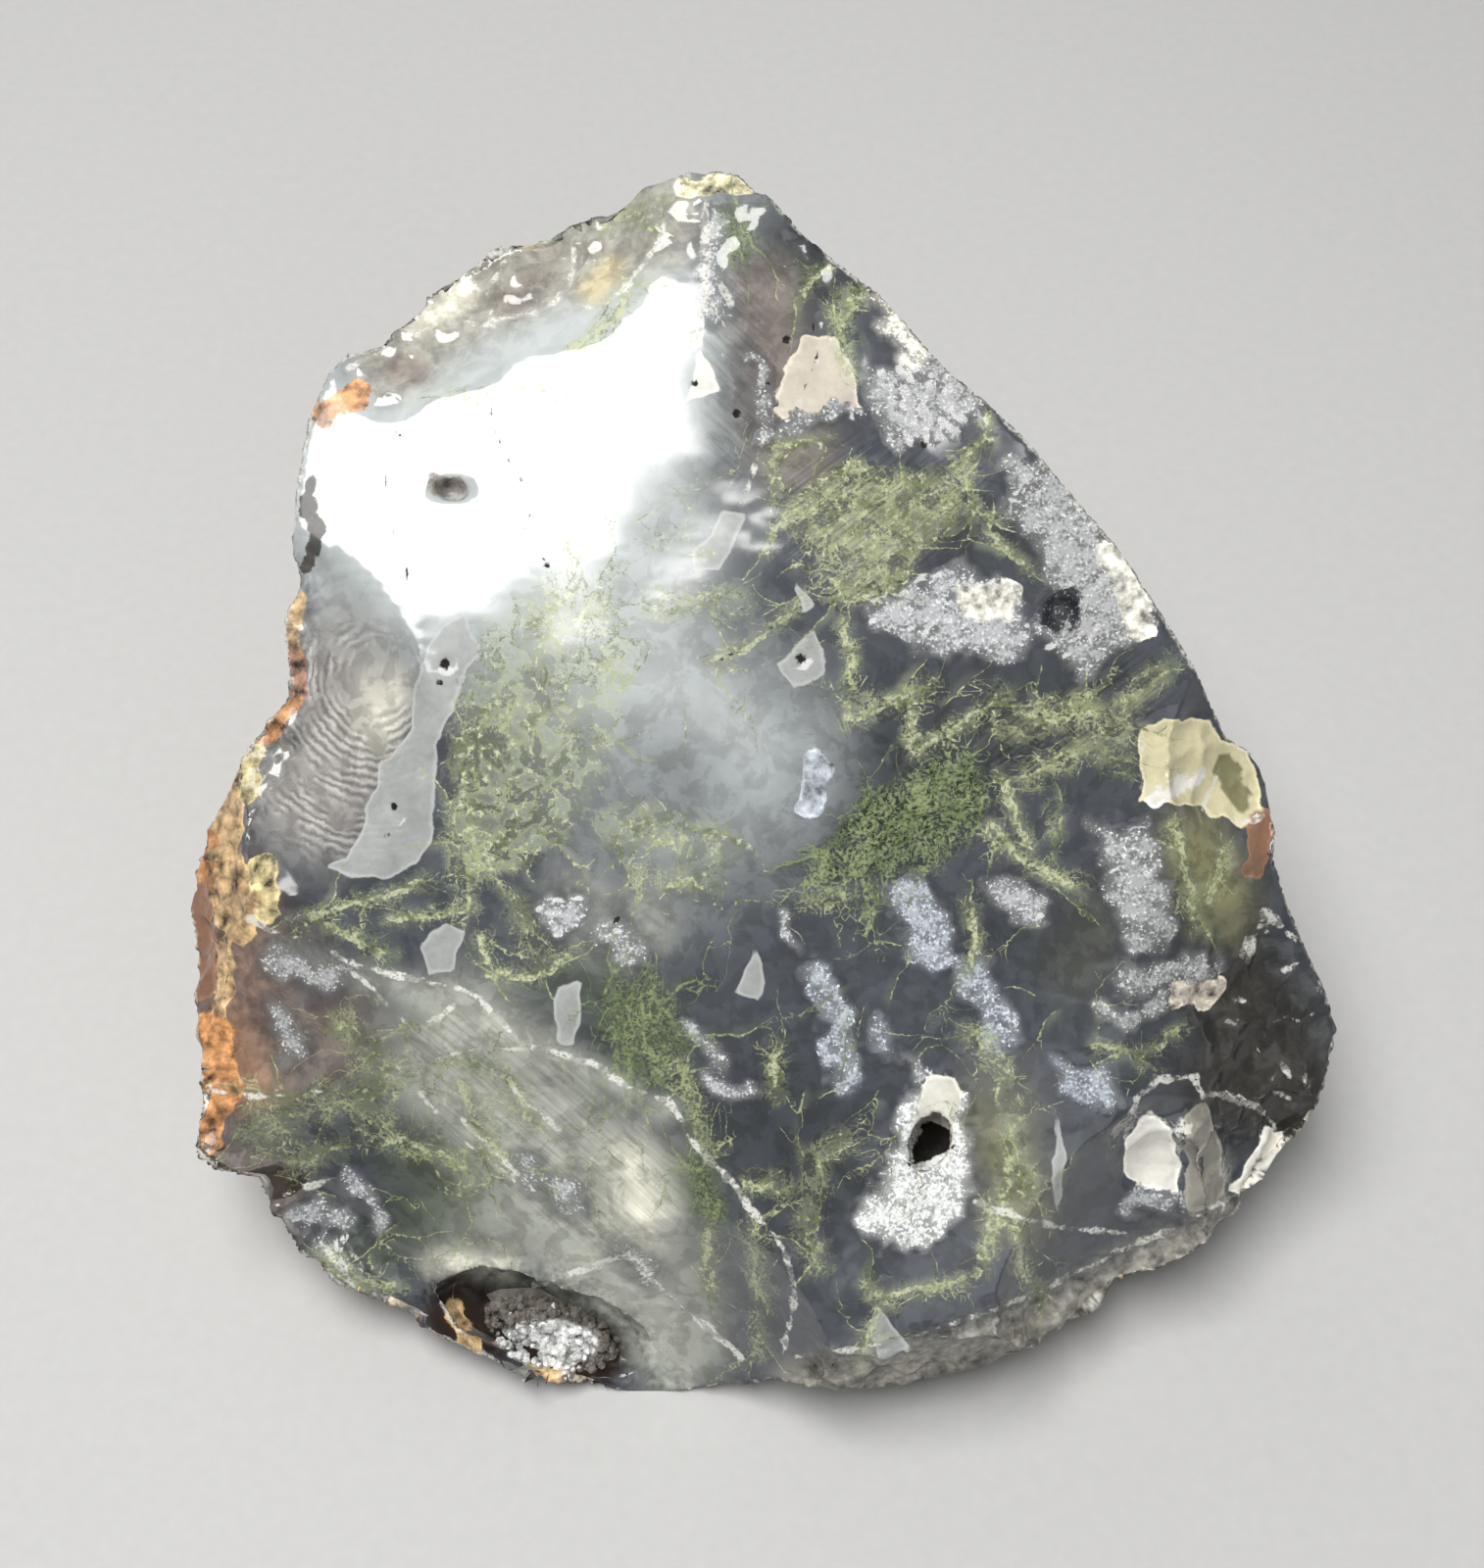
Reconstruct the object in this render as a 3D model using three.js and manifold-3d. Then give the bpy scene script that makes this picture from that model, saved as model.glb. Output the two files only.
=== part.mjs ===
// Raw tree agate: one broken chunk of grey chalcedony. It rests on a level break with its big mossy face
// sloping up and back. Flake scars cut the rim and the back, a weathered rind is left along one side,
// and a hollow under the lower rim is lined with a crust of quartz crystals.
// Millimetres, +Z up. The origin is the middle of the resting face.

import * as THREE from "three";
import { ImprovedNoise } from "three/addons/math/ImprovedNoise.js";
import { mergeVertices } from "three/addons/utils/BufferGeometryUtils.js";
import Module from "manifold-3d";

const wasm = await Module();
wasm.setup();

// Driving dimensions. Points are in the face's own frame: x to the right along the face, y up along it,
// and z square out of it, from the middle of the face.
const FACE_SLOPE = 32; // degrees between the broken face and the ground
const FACE_CENTRE = [0, -2, 45]; // the face's middle, from the middle of the resting face
const FRONT_SPARE = 14; // rough stone in front of the face, all of which breaks away
const BACK_DEPTH = 46; // from the girth to the furthest point of the back
const BACK_CENTRE = [3, -4]; // the point behind the face where the back is deepest
const BACK_RADIUS = 52; // the round that the back takes up
const BACK_FULLNESS = 0.75; // 1 rounds the back like a ball, less keeps it fuller
const BACK_LUMPS = { height: 3, size: 40 };
const HOLLOW_LUMPS = { height: 0.16, size: 0.8 }; // for a hollow 1 in radius
const CRUST_GAP = 0.3; // clear space between the quartz crust and its hollow

// How fine the solids are.
const FACE_STEP = 3.2; // spacing of the points on a broken surface of the face
const BACK_STEP = 5.5; // and of the back
const CRUST_STEP = 2; // and of the crust
const GIRTH_POINTS = 96; // points round the chunk
const BACK_RINGS = 8; // rings of points from the girth to the back
const SHEET_LIFT = 70; // thickness of what breaks away along a sheet
const GROUND_BLOCK = [300, 300, 200]; // what the level break takes off, at its largest

// The chunk's widest outline seen square to the face, clockwise from the tip: x, y, and how far behind
// the face it lies.
const GIRTH = [
  [-1, 61, 6], [1.5, 58, 4], [7.5, 53, 2], [13.5, 48.5, 2], [18, 43, 2], [19.5, 40.5, 2], [25, 36, 2],
  [31, 28.5, 2], [36, 23, 2], [41.5, 14.5, 3], [45.5, 8, 4], [48, 3.5, 7], [51, 3, 8], [53, -6, 10],
  [52.5, -9, 10], [55.5, -15, 11], [59, -21.5, 12], [60, -25.5, 12], [58.5, -32.5, 12], [56.5, -37, 11],
  [53.5, -41, 10], [45, -47.5, 10], [42.5, -49, 10], [38.5, -49, 9], [35.5, -52.5, 9], [23.5, -57.5, 8],
  [10, -60, 8], [3, -59, 8], [-3.5, -62, 11], [-9.5, -63.5, 12], [-19.5, -60.5, 12], [-31, -56.5, 10],
  [-42.5, -51.5, 8], [-48, -46.5, 6], [-50, -40.5, 5], [-55, -38.5, 6], [-55.5, -35.5, 7], [-54, -30, 8],
  [-54.5, -23.5, 9], [-56, -15.5, 9], [-55, -10, 9], [-53, -3, 9], [-49.5, 3, 8], [-44.5, 9, 7],
  [-45, 15.5, 6], [-43.5, 19, 5], [-43, 29, 5], [-42, 36.5, 6], [-39.5, 42, 7], [-34.5, 44, 8],
  [-31.5, 49, 9], [-22, 55, 9], [-10, 58, 8], [-5.5, 59.5, 7],
];

// The upper left of the face turns back along a smooth bend: a point on the bend, the way the face turns,
// the bend's radius and the slope past it.
const BEND = { at: [-24, 27], towards: [-0.4, 0.916], radius: 45, slope: 0.325 };

// Broken surfaces. facing points out of the stone. bow holds the two radii of a hollow scar, or of a
// swelling one where they are negative, along and across. reach is half the size of the sheet, rough the
// height of its lumps and grain their size.
const FACE = { name: "face", at: [0, 0, 0], facing: [0, 0, 1], reach: [76, 80], rough: 0.45, grain: 26 };
const FACE_SCARS = [
  { name: "upper right scar", at: [4.5, 46, -3.2], facing: [0.2, 0.1, 0.97], bow: [50, 70] },
  { name: "left chips", at: [-24, 48, -6.5], facing: [-0.2, 0.42, 0.89], bow: [60, 60], rough: 0.8, grain: 9 },
  { name: "tip chips", at: [-13, 53.5, -6], facing: [-0.39, 0.36, 0.85], bow: [40, 60], rough: 0.8, grain: 8 },
  { name: "tip", at: [-1, 58.5, -4.5], facing: [0.05, 0.62, 0.78], reach: [16, 20] },
  { name: "rippled scar", at: [-38, 4, -3], facing: [-0.3, 0.05, 0.95], bow: [45, 40], reach: [32, 30] },
  { name: "rind", at: [-50, -11, -4.5], facing: [-0.75, 0.05, 0.66], reach: [30, 32], rough: 1.2, grain: 7 },
  { name: "lower left scar", at: [-42, -26, -4.6], facing: [-0.3, -0.14, 0.94], bow: [90, 60] },
  { name: "lower scar", at: [-22, -42, -7.4], facing: [-0.21, -0.27, 0.94], bow: [100, 75] },
  { name: "lowest scar", at: [-9, -54, -11.5], facing: [-0.04, -0.42, 0.91], bow: [17, 40], reach: [22, 26] },
  { name: "lower rim", at: [22, -56, -4], facing: [0.18, -0.8, 0.57], bow: [-160, 90], rough: 0.8, grain: 7 },
  { name: "lower right rim", at: [46, -44.5, -5], facing: [0.45, -0.7, 0.56], rough: 0.9, grain: 6 },
  { name: "right flake", at: [46.5, -1, -4.2], facing: [0.46, 0.12, 0.88], bow: [17, 22], reach: [20, 20] },
  { name: "right swell", at: [52, -21, -6.8], facing: [0.46, -0.1, 0.88], bow: [-160, 200], rough: 1.2 },
  { name: "pale facet", at: [42.5, -37.5, -5.5], facing: [0, -0.5, 0.87], bow: [17, 40], reach: [18, 26] },
  { name: "corner facet", at: [51.5, -34, -9], facing: [0.5, -0.42, 0.76], bow: [20, 30], reach: [22, 24] },
];
const BACK_SCARS = [
  { name: "top back scar", at: [4, 44, -26], facing: [0.06, 0.86, -0.5], bow: [120, 80], rough: 1, grain: 20 },
  { name: "left back scar", at: [-38, 16, -28], facing: [-0.78, 0.3, -0.55], bow: [90, 70] },
  { name: "right back scar", at: [37, 2, -28], facing: [0.8, 0.28, -0.53], bow: [80, 110], rough: 0.8 },
  { name: "under right scar", at: [35, -39, -25], facing: [0.5, -0.62, -0.6], bow: [110, 70], rough: 0.8 },
  { name: "under left scar", at: [-34.5, -37.5, -26.5], facing: [-0.6, -0.54, -0.59], bow: [90, 80] },
  { name: "low back scar", at: [5, 14, -40], facing: [0.1, 0.36, -0.93], bow: [90, 90], rough: 0.8 },
];

// Small hollows in the face: where, half sizes, and the turn of the long way in degrees.
const PITS = [
  { name: "vug", at: [18, -34.3, -1.5], half: [1.9, 2.7, 5], turn: -25 },
  { name: "glint pit", at: [-28, 28.2, -0.6], half: [1.8, 0.9, 2], turn: -5 },
  { name: "quartz pit", at: [30.8, 16, 0], half: [1.8, 2.4, 1.6], turn: 15 },
];

// The hollow under the lower rim, a deeper recess at its back, the level that quartz fills it to, and the
// crystals that stand on the quartz.
const HOLLOW = { at: [-19.5, -55, -10], half: [12, 5, 6], turn: -20 };
const RECESS = { at: [-24.5, -53, -13], half: [6, 3.6, 3.4], turn: -12 };
const CRUST_TOP = { at: [-18, -55.6, -14.8], facing: [0, -0.1, 1], reach: [24, 24], rough: 0.3, grain: 4 };
const CRYSTALS = { count: 50, spread: [6, 2.5], radius: [0.6, 1.1], length: [0.9, 1.8], root: 0.8, lean: 0.4 };

const GREY_CHALCEDONY = { color: 0x6d7473, roughness: 0.25, metalness: 0 };
const WHITE_QUARTZ = { color: 0xd9dde0, roughness: 0.3, metalness: 0 };

const perlin = new ImprovedNoise();

// Lumpy noise from about -1 to 1.
function lumps(x, y, z, size) {
  let sum = 0;
  for (const octave of [1, 2, 4]) {
    const scale = octave / size;
    sum += perlin.noise(x * scale, y * scale, z * scale + 0.37) / octave;
  }
  return sum;
}

// The same fraction from 0 to 1 each time for the same two whole numbers.
function scatter(index, kind) {
  const wide = Math.sin(index * 12.9898 + kind * 78.233) * 43758.5453;
  return wide - Math.floor(wide);
}

const between = ([low, high], share) => low + (high - low) * share;

// A closed geometry as a solid that can be joined and cut.
function solidOf(geometry) {
  const bare = geometry.clone();
  bare.deleteAttribute("normal");
  bare.deleteAttribute("uv");
  const merged = mergeVertices(bare, 1e-4);
  return new wasm.Manifold(
    new wasm.Mesh({
      numProp: 3,
      vertProperties: merged.attributes.position.array,
      triVerts: new Uint32Array(merged.index.array),
    }),
  );
}

// A named mesh from a solid.
function meshOf(name, solid, look) {
  const { vertProperties, triVerts } = solid.getMesh();
  const geometry = new THREE.BufferGeometry();
  geometry.setAttribute("position", new THREE.BufferAttribute(vertProperties, 3));
  geometry.setIndex(new THREE.BufferAttribute(triVerts, 1));
  geometry.computeVertexNormals();
  const mesh = new THREE.Mesh(geometry, new THREE.MeshStandardMaterial(look));
  mesh.name = name;
  return mesh;
}

// Points evenly round the girth: x, y and depth.
function girthPoints() {
  const outline = new THREE.CurvePath();
  GIRTH.forEach((corner, i) => {
    const next = GIRTH[(i + 1) % GIRTH.length];
    outline.add(new THREE.LineCurve3(new THREE.Vector3(...corner), new THREE.Vector3(...next)));
  });
  return outline.getSpacedPoints(GIRTH_POINTS).slice(0, GIRTH_POINTS);
}

// The unbroken chunk: straight sides in front of the girth, and a back that rounds off behind it. The back
// loses the girth's corners as it goes.
function roughChunk() {
  const girth = girthPoints();
  const rings = [girth.map((p) => new THREE.Vector3(p.x, p.y, FRONT_SPARE))];
  for (let ring = 0; ring < BACK_RINGS; ring++) {
    const angle = ((ring / BACK_RINGS) * Math.PI) / 2;
    const width = Math.cos(angle) ** BACK_FULLNESS;
    const depth = BACK_DEPTH * Math.sin(angle);
    rings.push(
      girth.map((p) => {
        const corner = new THREE.Vector2(p.x - BACK_CENTRE[0], p.y - BACK_CENTRE[1]);
        const lump = BACK_LUMPS.height * lumps(p.x, p.y, depth, BACK_LUMPS.size);
        const round = corner.clone().setLength(BACK_RADIUS + lump);
        corner.lerp(round, Math.sin(angle)).multiplyScalar(width);
        return new THREE.Vector3(BACK_CENTRE[0] + corner.x, BACK_CENTRE[1] + corner.y, -p.z * width - depth);
      }),
    );
  }
  const points = rings.flat();
  const frontEnd = points.push(new THREE.Vector3(...BACK_CENTRE, FRONT_SPARE)) - 1;
  const backEnd = points.push(new THREE.Vector3(...BACK_CENTRE, -BACK_DEPTH)) - 1;
  const faces = [];
  const last = (rings.length - 1) * GIRTH_POINTS;
  for (let i = 0; i < GIRTH_POINTS; i++) {
    const next = (i + 1) % GIRTH_POINTS;
    faces.push(frontEnd, next, i, backEnd, last + i, last + next);
    for (let start = 0; start < last; start += GIRTH_POINTS) {
      const [a, b, c, d] = [start + i, start + next, start + GIRTH_POINTS + i, start + GIRTH_POINTS + next];
      faces.push(a, b, c, b, d, c);
    }
  }
  const geometry = new THREE.BufferGeometry().setFromPoints(points);
  geometry.setIndex(faces);
  return solidOf(geometry);
}

// What breaks away along one broken surface.
function brokenAway(surface, step, height = () => 0) {
  const { at, facing, bow = [Infinity, Infinity], reach = [70, 70], rough = 0.5, grain = 15 } = surface;
  const steps = reach.map((half) => Math.ceil((2 * half) / step));
  const geometry = new THREE.BoxGeometry(2 * reach[0], 2 * reach[1], 2, ...steps, 1);
  const points = geometry.attributes.position;
  for (let i = 0; i < points.count; i++) {
    const along = points.getX(i);
    const across = points.getY(i);
    const bowed = along ** 2 / (2 * bow[0]) + across ** 2 / (2 * bow[1]);
    const broken = bowed + rough * lumps(along + at[0], across + at[1], at[2] * 3, grain);
    points.setZ(i, points.getZ(i) > 0 ? SHEET_LIFT : broken + height(along, across));
  }
  const outwards = new THREE.Vector3(...facing).normalize();
  geometry.applyQuaternion(new THREE.Quaternion().setFromUnitVectors(new THREE.Vector3(0, 0, 1), outwards));
  geometry.translate(...at);
  return solidOf(geometry);
}

// How far the face drops past its bend.
function bendDrop(x, y) {
  const past = Math.max(0, (x - BEND.at[0]) * BEND.towards[0] + (y - BEND.at[1]) * BEND.towards[1]);
  const round = Math.min(past, BEND.slope * BEND.radius);
  return -(round ** 2) / (2 * BEND.radius) - BEND.slope * (past - round);
}

// A lumpy egg, for a pit or a hollow.
function lumpyEgg({ at, half, turn }, detail, spare = 0) {
  const geometry = new THREE.IcosahedronGeometry(1, detail);
  const points = geometry.attributes.position;
  const p = new THREE.Vector3();
  for (let i = 0; i < points.count; i++) {
    p.fromBufferAttribute(points, i);
    p.multiplyScalar(1 + HOLLOW_LUMPS.height * lumps(p.x + at[0], p.y + at[1], p.z, HOLLOW_LUMPS.size));
    points.setXYZ(i, p.x * (half[0] - spare), p.y * (half[1] - spare), p.z * (half[2] - spare));
  }
  geometry.rotateZ(THREE.MathUtils.degToRad(turn));
  geometry.translate(...at);
  return solidOf(geometry);
}

// Everything below the ground, in the face's frame.
function ground(faceFrame) {
  const block = new THREE.BoxGeometry(...GROUND_BLOCK);
  block.translate(0, 0, -GROUND_BLOCK[2] / 2);
  return solidOf(block.applyMatrix4(faceFrame.clone().invert()));
}

// One six-sided quartz point rooted in the crust. They are spread evenly over an oval.
function crystal(index) {
  const radius = between(CRYSTALS.radius, scatter(index, 1));
  const length = between(CRYSTALS.length, scatter(index, 2));
  const geometry = new THREE.ConeGeometry(radius, length + CRYSTALS.root, 6);
  geometry.translate(0, (length - CRYSTALS.root) / 2, 0);
  const [leanX, leanY] = [3, 4].map((kind) => between([-CRYSTALS.lean, CRYSTALS.lean], scatter(index, kind)));
  const upright = new THREE.Vector3(leanX, leanY, 1).normalize();
  geometry.applyQuaternion(new THREE.Quaternion().setFromUnitVectors(new THREE.Vector3(0, 1, 0), upright));
  const round = index * Math.PI * (3 - Math.sqrt(5));
  const out = Math.sqrt((index + 0.5) / CRYSTALS.count);
  geometry.translate(CRYSTALS.spread[0] * out * Math.cos(round), CRYSTALS.spread[1] * out * Math.sin(round), 0);
  geometry.rotateZ(THREE.MathUtils.degToRad(HOLLOW.turn));
  geometry.translate(...CRUST_TOP.at);
  return solidOf(geometry);
}

// The quartz crust: the floor of the hollow filled to a lumpy level, with crystals standing on it.
function quartzCrust() {
  const room = lumpyEgg(HOLLOW, 3, CRUST_GAP);
  let crust = room.subtract(brokenAway(CRUST_TOP, CRUST_STEP));
  for (let index = 0; index < CRYSTALS.count; index++) crust = crust.add(crystal(index));
  return crust.intersect(room);
}

// The whole stone: the chunk broken along its face, its scars, its holes and the level break it rests on.
function agateChunk(faceFrame) {
  let chunk = roughChunk().subtract(brokenAway(FACE, FACE_STEP, bendDrop));
  for (const scar of FACE_SCARS) chunk = chunk.subtract(brokenAway(scar, FACE_STEP));
  for (const scar of BACK_SCARS) chunk = chunk.subtract(brokenAway(scar, BACK_STEP));
  for (const pit of PITS) chunk = chunk.subtract(lumpyEgg(pit, 2));
  for (const hole of [HOLLOW, RECESS]) chunk = chunk.subtract(lumpyEgg(hole, 3));
  return chunk.subtract(ground(faceFrame));
}

const stone = new THREE.Group();
stone.position.set(...FACE_CENTRE);
stone.rotation.x = THREE.MathUtils.degToRad(FACE_SLOPE);
stone.updateMatrix();
stone.add(meshOf("agate", agateChunk(stone.matrix), GREY_CHALCEDONY));
stone.add(meshOf("quartz_crust", quartzCrust(), WHITE_QUARTZ));

const part = new THREE.Group();
part.add(stone);

export default part;
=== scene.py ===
import math
import random

import bmesh
import bpy
import numpy as np
from mathutils import Matrix, Vector, noise
from mathutils.bvhtree import BVHTree
from mathutils.kdtree import KDTree


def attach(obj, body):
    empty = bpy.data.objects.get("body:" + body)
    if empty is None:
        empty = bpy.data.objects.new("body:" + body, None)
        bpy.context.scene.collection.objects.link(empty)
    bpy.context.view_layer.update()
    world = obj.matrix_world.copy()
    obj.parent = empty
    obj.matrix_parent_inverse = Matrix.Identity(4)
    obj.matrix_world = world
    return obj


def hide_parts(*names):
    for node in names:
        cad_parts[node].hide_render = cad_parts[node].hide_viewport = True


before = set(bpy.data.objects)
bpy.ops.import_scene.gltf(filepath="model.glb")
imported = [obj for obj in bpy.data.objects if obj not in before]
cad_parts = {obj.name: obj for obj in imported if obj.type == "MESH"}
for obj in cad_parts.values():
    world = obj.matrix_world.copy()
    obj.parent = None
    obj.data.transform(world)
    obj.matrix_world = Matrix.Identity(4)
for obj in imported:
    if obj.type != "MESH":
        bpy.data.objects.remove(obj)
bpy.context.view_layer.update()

# ---------------------------------------------------------------- the broken face
# Markings are laid out in millimetres on the broken face: x to the right, y up the
# face, out along its normal. Their places are as seen square-on from VIEW_MM away.
MM = 0.001
FACE_SLOPE = math.radians(32)
FACE_CENTRE = np.array((0.0, -2.0, 45.0))
FACE_AXES = np.array((
    (1, 0, 0),
    (0, math.cos(FACE_SLOPE), math.sin(FACE_SLOPE)),
    (0, -math.sin(FACE_SLOPE), math.cos(FACE_SLOPE)),
))
VIEW_MM = 216.2

# ---------------------------------------------------------------- stone surface
FINE_MM = 0.42
TRIANGLES = 190000
RIDGE_KEPT = 0.13
NORMAL_PASSES = 22
CALM_RIDGE_KEPT = 0.45
CALM_PASSES = 70
POINT_PASSES = 12
SMOOTHING_REACH = 0.35
FAR = 8.0
# The glassy parts of the face, which mirror the light.
CALM = [
    [(-37, 37), (-24, 42), (-9, 50), (-8, 38), (-2, 28), (4, 10), (0, 0), (-10, -6), (-26, -4), (-28, 14), (-38, 20)],
    [(-3, 37), (2, 36), (8, 34), (18, 36), (24, 37), (24, 32), (16, 28), (6, 27), (-2, 30)],
]

PALETTE = {
    "white quartz": (0.44, 0.455, 0.465),
    "blue quartz": (0.42, 0.46, 0.51),
    "grey quartz": (0.39, 0.40, 0.40),
    "cream quartz": (0.80, 0.78, 0.69),
    "peach": (0.66, 0.60, 0.50),
    "plate": (0.38, 0.395, 0.385),
    "orange": (0.52, 0.25, 0.10),
    "tan": (0.54, 0.37, 0.19),
    "straw": (0.56, 0.47, 0.24),
    "rose": (0.28, 0.15, 0.09),
    # near-black: rust on the rind, and painted shadow under the lip of the hollow
    "rust_and_shade": (0.022, 0.014, 0.009),
    "umber": (0.20, 0.165, 0.145),
    "smoke": (0.034, 0.038, 0.043),
    "black": (0.045, 0.043, 0.038),
    "milk": (0.42, 0.435, 0.375),
    "bright milk": (0.92, 0.89, 0.74),
    "haze": (0.50, 0.54, 0.535),
    "ripple grey": (0.34, 0.325, 0.305),
    "lime": (0.74, 0.68, 0.43),
    "olive": (0.25, 0.24, 0.12),
    "green": (0.075, 0.095, 0.05),
    "bright quartz": (0.80, 0.82, 0.81),
    "crushed": (0.95, 0.93, 0.85),
    "chip": (0.31, 0.295, 0.25),
}
GROUND = (0.048, 0.054, 0.066)

# Soft zones of the chalcedony: colour, strength, softness, radius, line of points.
ZONES = [
    ("haze", 0.95, 10, 16, [(-30, 28), (-18, 32), (-12, 42)]),
    ("smoke", 0.85, 6, 7, [(17, 4), (26, 5), (31, 8)]),
    ("smoke", 0.8, 5, 5, [(6, -30), (8, -37), (0, -31)]),
    ("smoke", 0.7, 4, 4, [(24, -15), (31, -16), (33, -12)]),
    ("smoke", 0.6, 3, 5, [(4, 50), (6, 46), (1, 36), (0, 30)]),
    ("umber", 0.75, 3, 3.5, [(2, 47), (3, 38), (5, 32)]),
    ("haze", 0.75, 9, 5, [(-9, 11), (-3, 8), (1, 4)]),
    ("haze", 0.5, 8, 6, [(-22, 16), (-12, 20), (-14, 8)]),
    ("haze", 0.3, 6, 5, [(-12, -4), (-4, -8), (4, 0)]),
    ("ripple grey", 0.85, 4, 6, [(-39, 10), (-39, 4), (-41, -1)]),
    ("bright milk", 0.5, 3, 1.8, [(-34, 8.5), (-35, 6)]),
    ("smoke", 0.3, 3, 2.4, [(-45, -10), (-38, -10), (-33, -9)]),
    ("umber", 0.9, 4, 5, [(-45, -19), (-44, -26), (-40, -24)]),
    ("milk", 0.8, 4, 7, [(-27, -26), (-20, -33), (-12, -40)]),
    ("milk", 0.55, 4, 5, [(-24, -42), (-15, -44), (-7, -49)]),
    ("milk", 0.6, 1.6, 0.9, [(-45, -15), (-38, -18), (-28, -20.3), (-24, -23), (-14, -28), (-7, -31.5)]),
    ("bright milk", 0.7, 3, 1.7, [(-10.8, -36.5), (-9.6, -41.5)]),
    ("rose", 0.4, 4, 3.5, [(-49, -12), (-48, -22)]),
    ("orange", 0.35, 3, 2.5, [(-50, -25), (-47, -29)]),
    ("smoke", 0.8, 2.5, 2.5, [(18, 22), (24, 24), (29, 24)]),
    ("smoke", 0.8, 2, 2, [(7, 52), (9, 48)]),
    ("milk", 0.75, 3, 3.5, [(-14, -47), (-9, -51.5), (-6, -55)]),
    ("bright milk", 0.6, 1.6, 1.2, [(-29, -46), (-23, -46.3)]),
    ("green", 0.55, 4, 3, [(-31, -36), (-28, -40), (-37, -44)]),
    ("green", 0.6, 2, 1.8, [(-4, -36), (-3.5, -42)]),
    ("green", 0.45, 4, 3, [(-17, -18), (-12, -22), (-9, -24)]),
    ("olive", 0.55, 4, 3, [(24, -32), (26, -40)]),
    ("black", 0.96, 3, 5.5, [(47, -19), (50, -24), (52, -30), (47, -28)]),
    ("olive", 0.12, 3, 3, [(32, -18), (35, -13)]),
    ("olive", 0.85, 3, 3, [(43, -6), (46, -11)]),
    # painted shadow under the lip of the hollow
    ("rust_and_shade", 0.97, 1.4, 3.4, [(-27, -51), (-21, -52), (-14.5, -54.5)]),
    ("umber", 0.8, 3, 4, [(-49, -37), (-46, -40)]),
    ("chip", 0.8, 2, 2.0, [(5, -57.5), (20, -55), (31, -50.5), (43, -44.5), (51, -39.5)]),
    ("milk", 0.5, 3, 2.5, [(-16, -11), (-12, -15), (-9, -13)]),
    ("chip", 0.85, 2, 4.5, [(-33, 41), (-27, 47), (-18, 50), (-8, 54)]),
    ("bright milk", 0.6, 1.2, 1.5, [(-30, 44.5), (-27, 47)]),
    ("umber", 0.8, 1, 1.2, [(-33, 39.6), (-31, 39.4)]),
    ("umber", 0.5, 1.2, 1.6, [(-22.5, 46.5), (-19, 49.5)]),
    ("straw", 0.7, 1, 1.2, [(-14.6, 47), (-12.6, 49.2)]),
]

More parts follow.
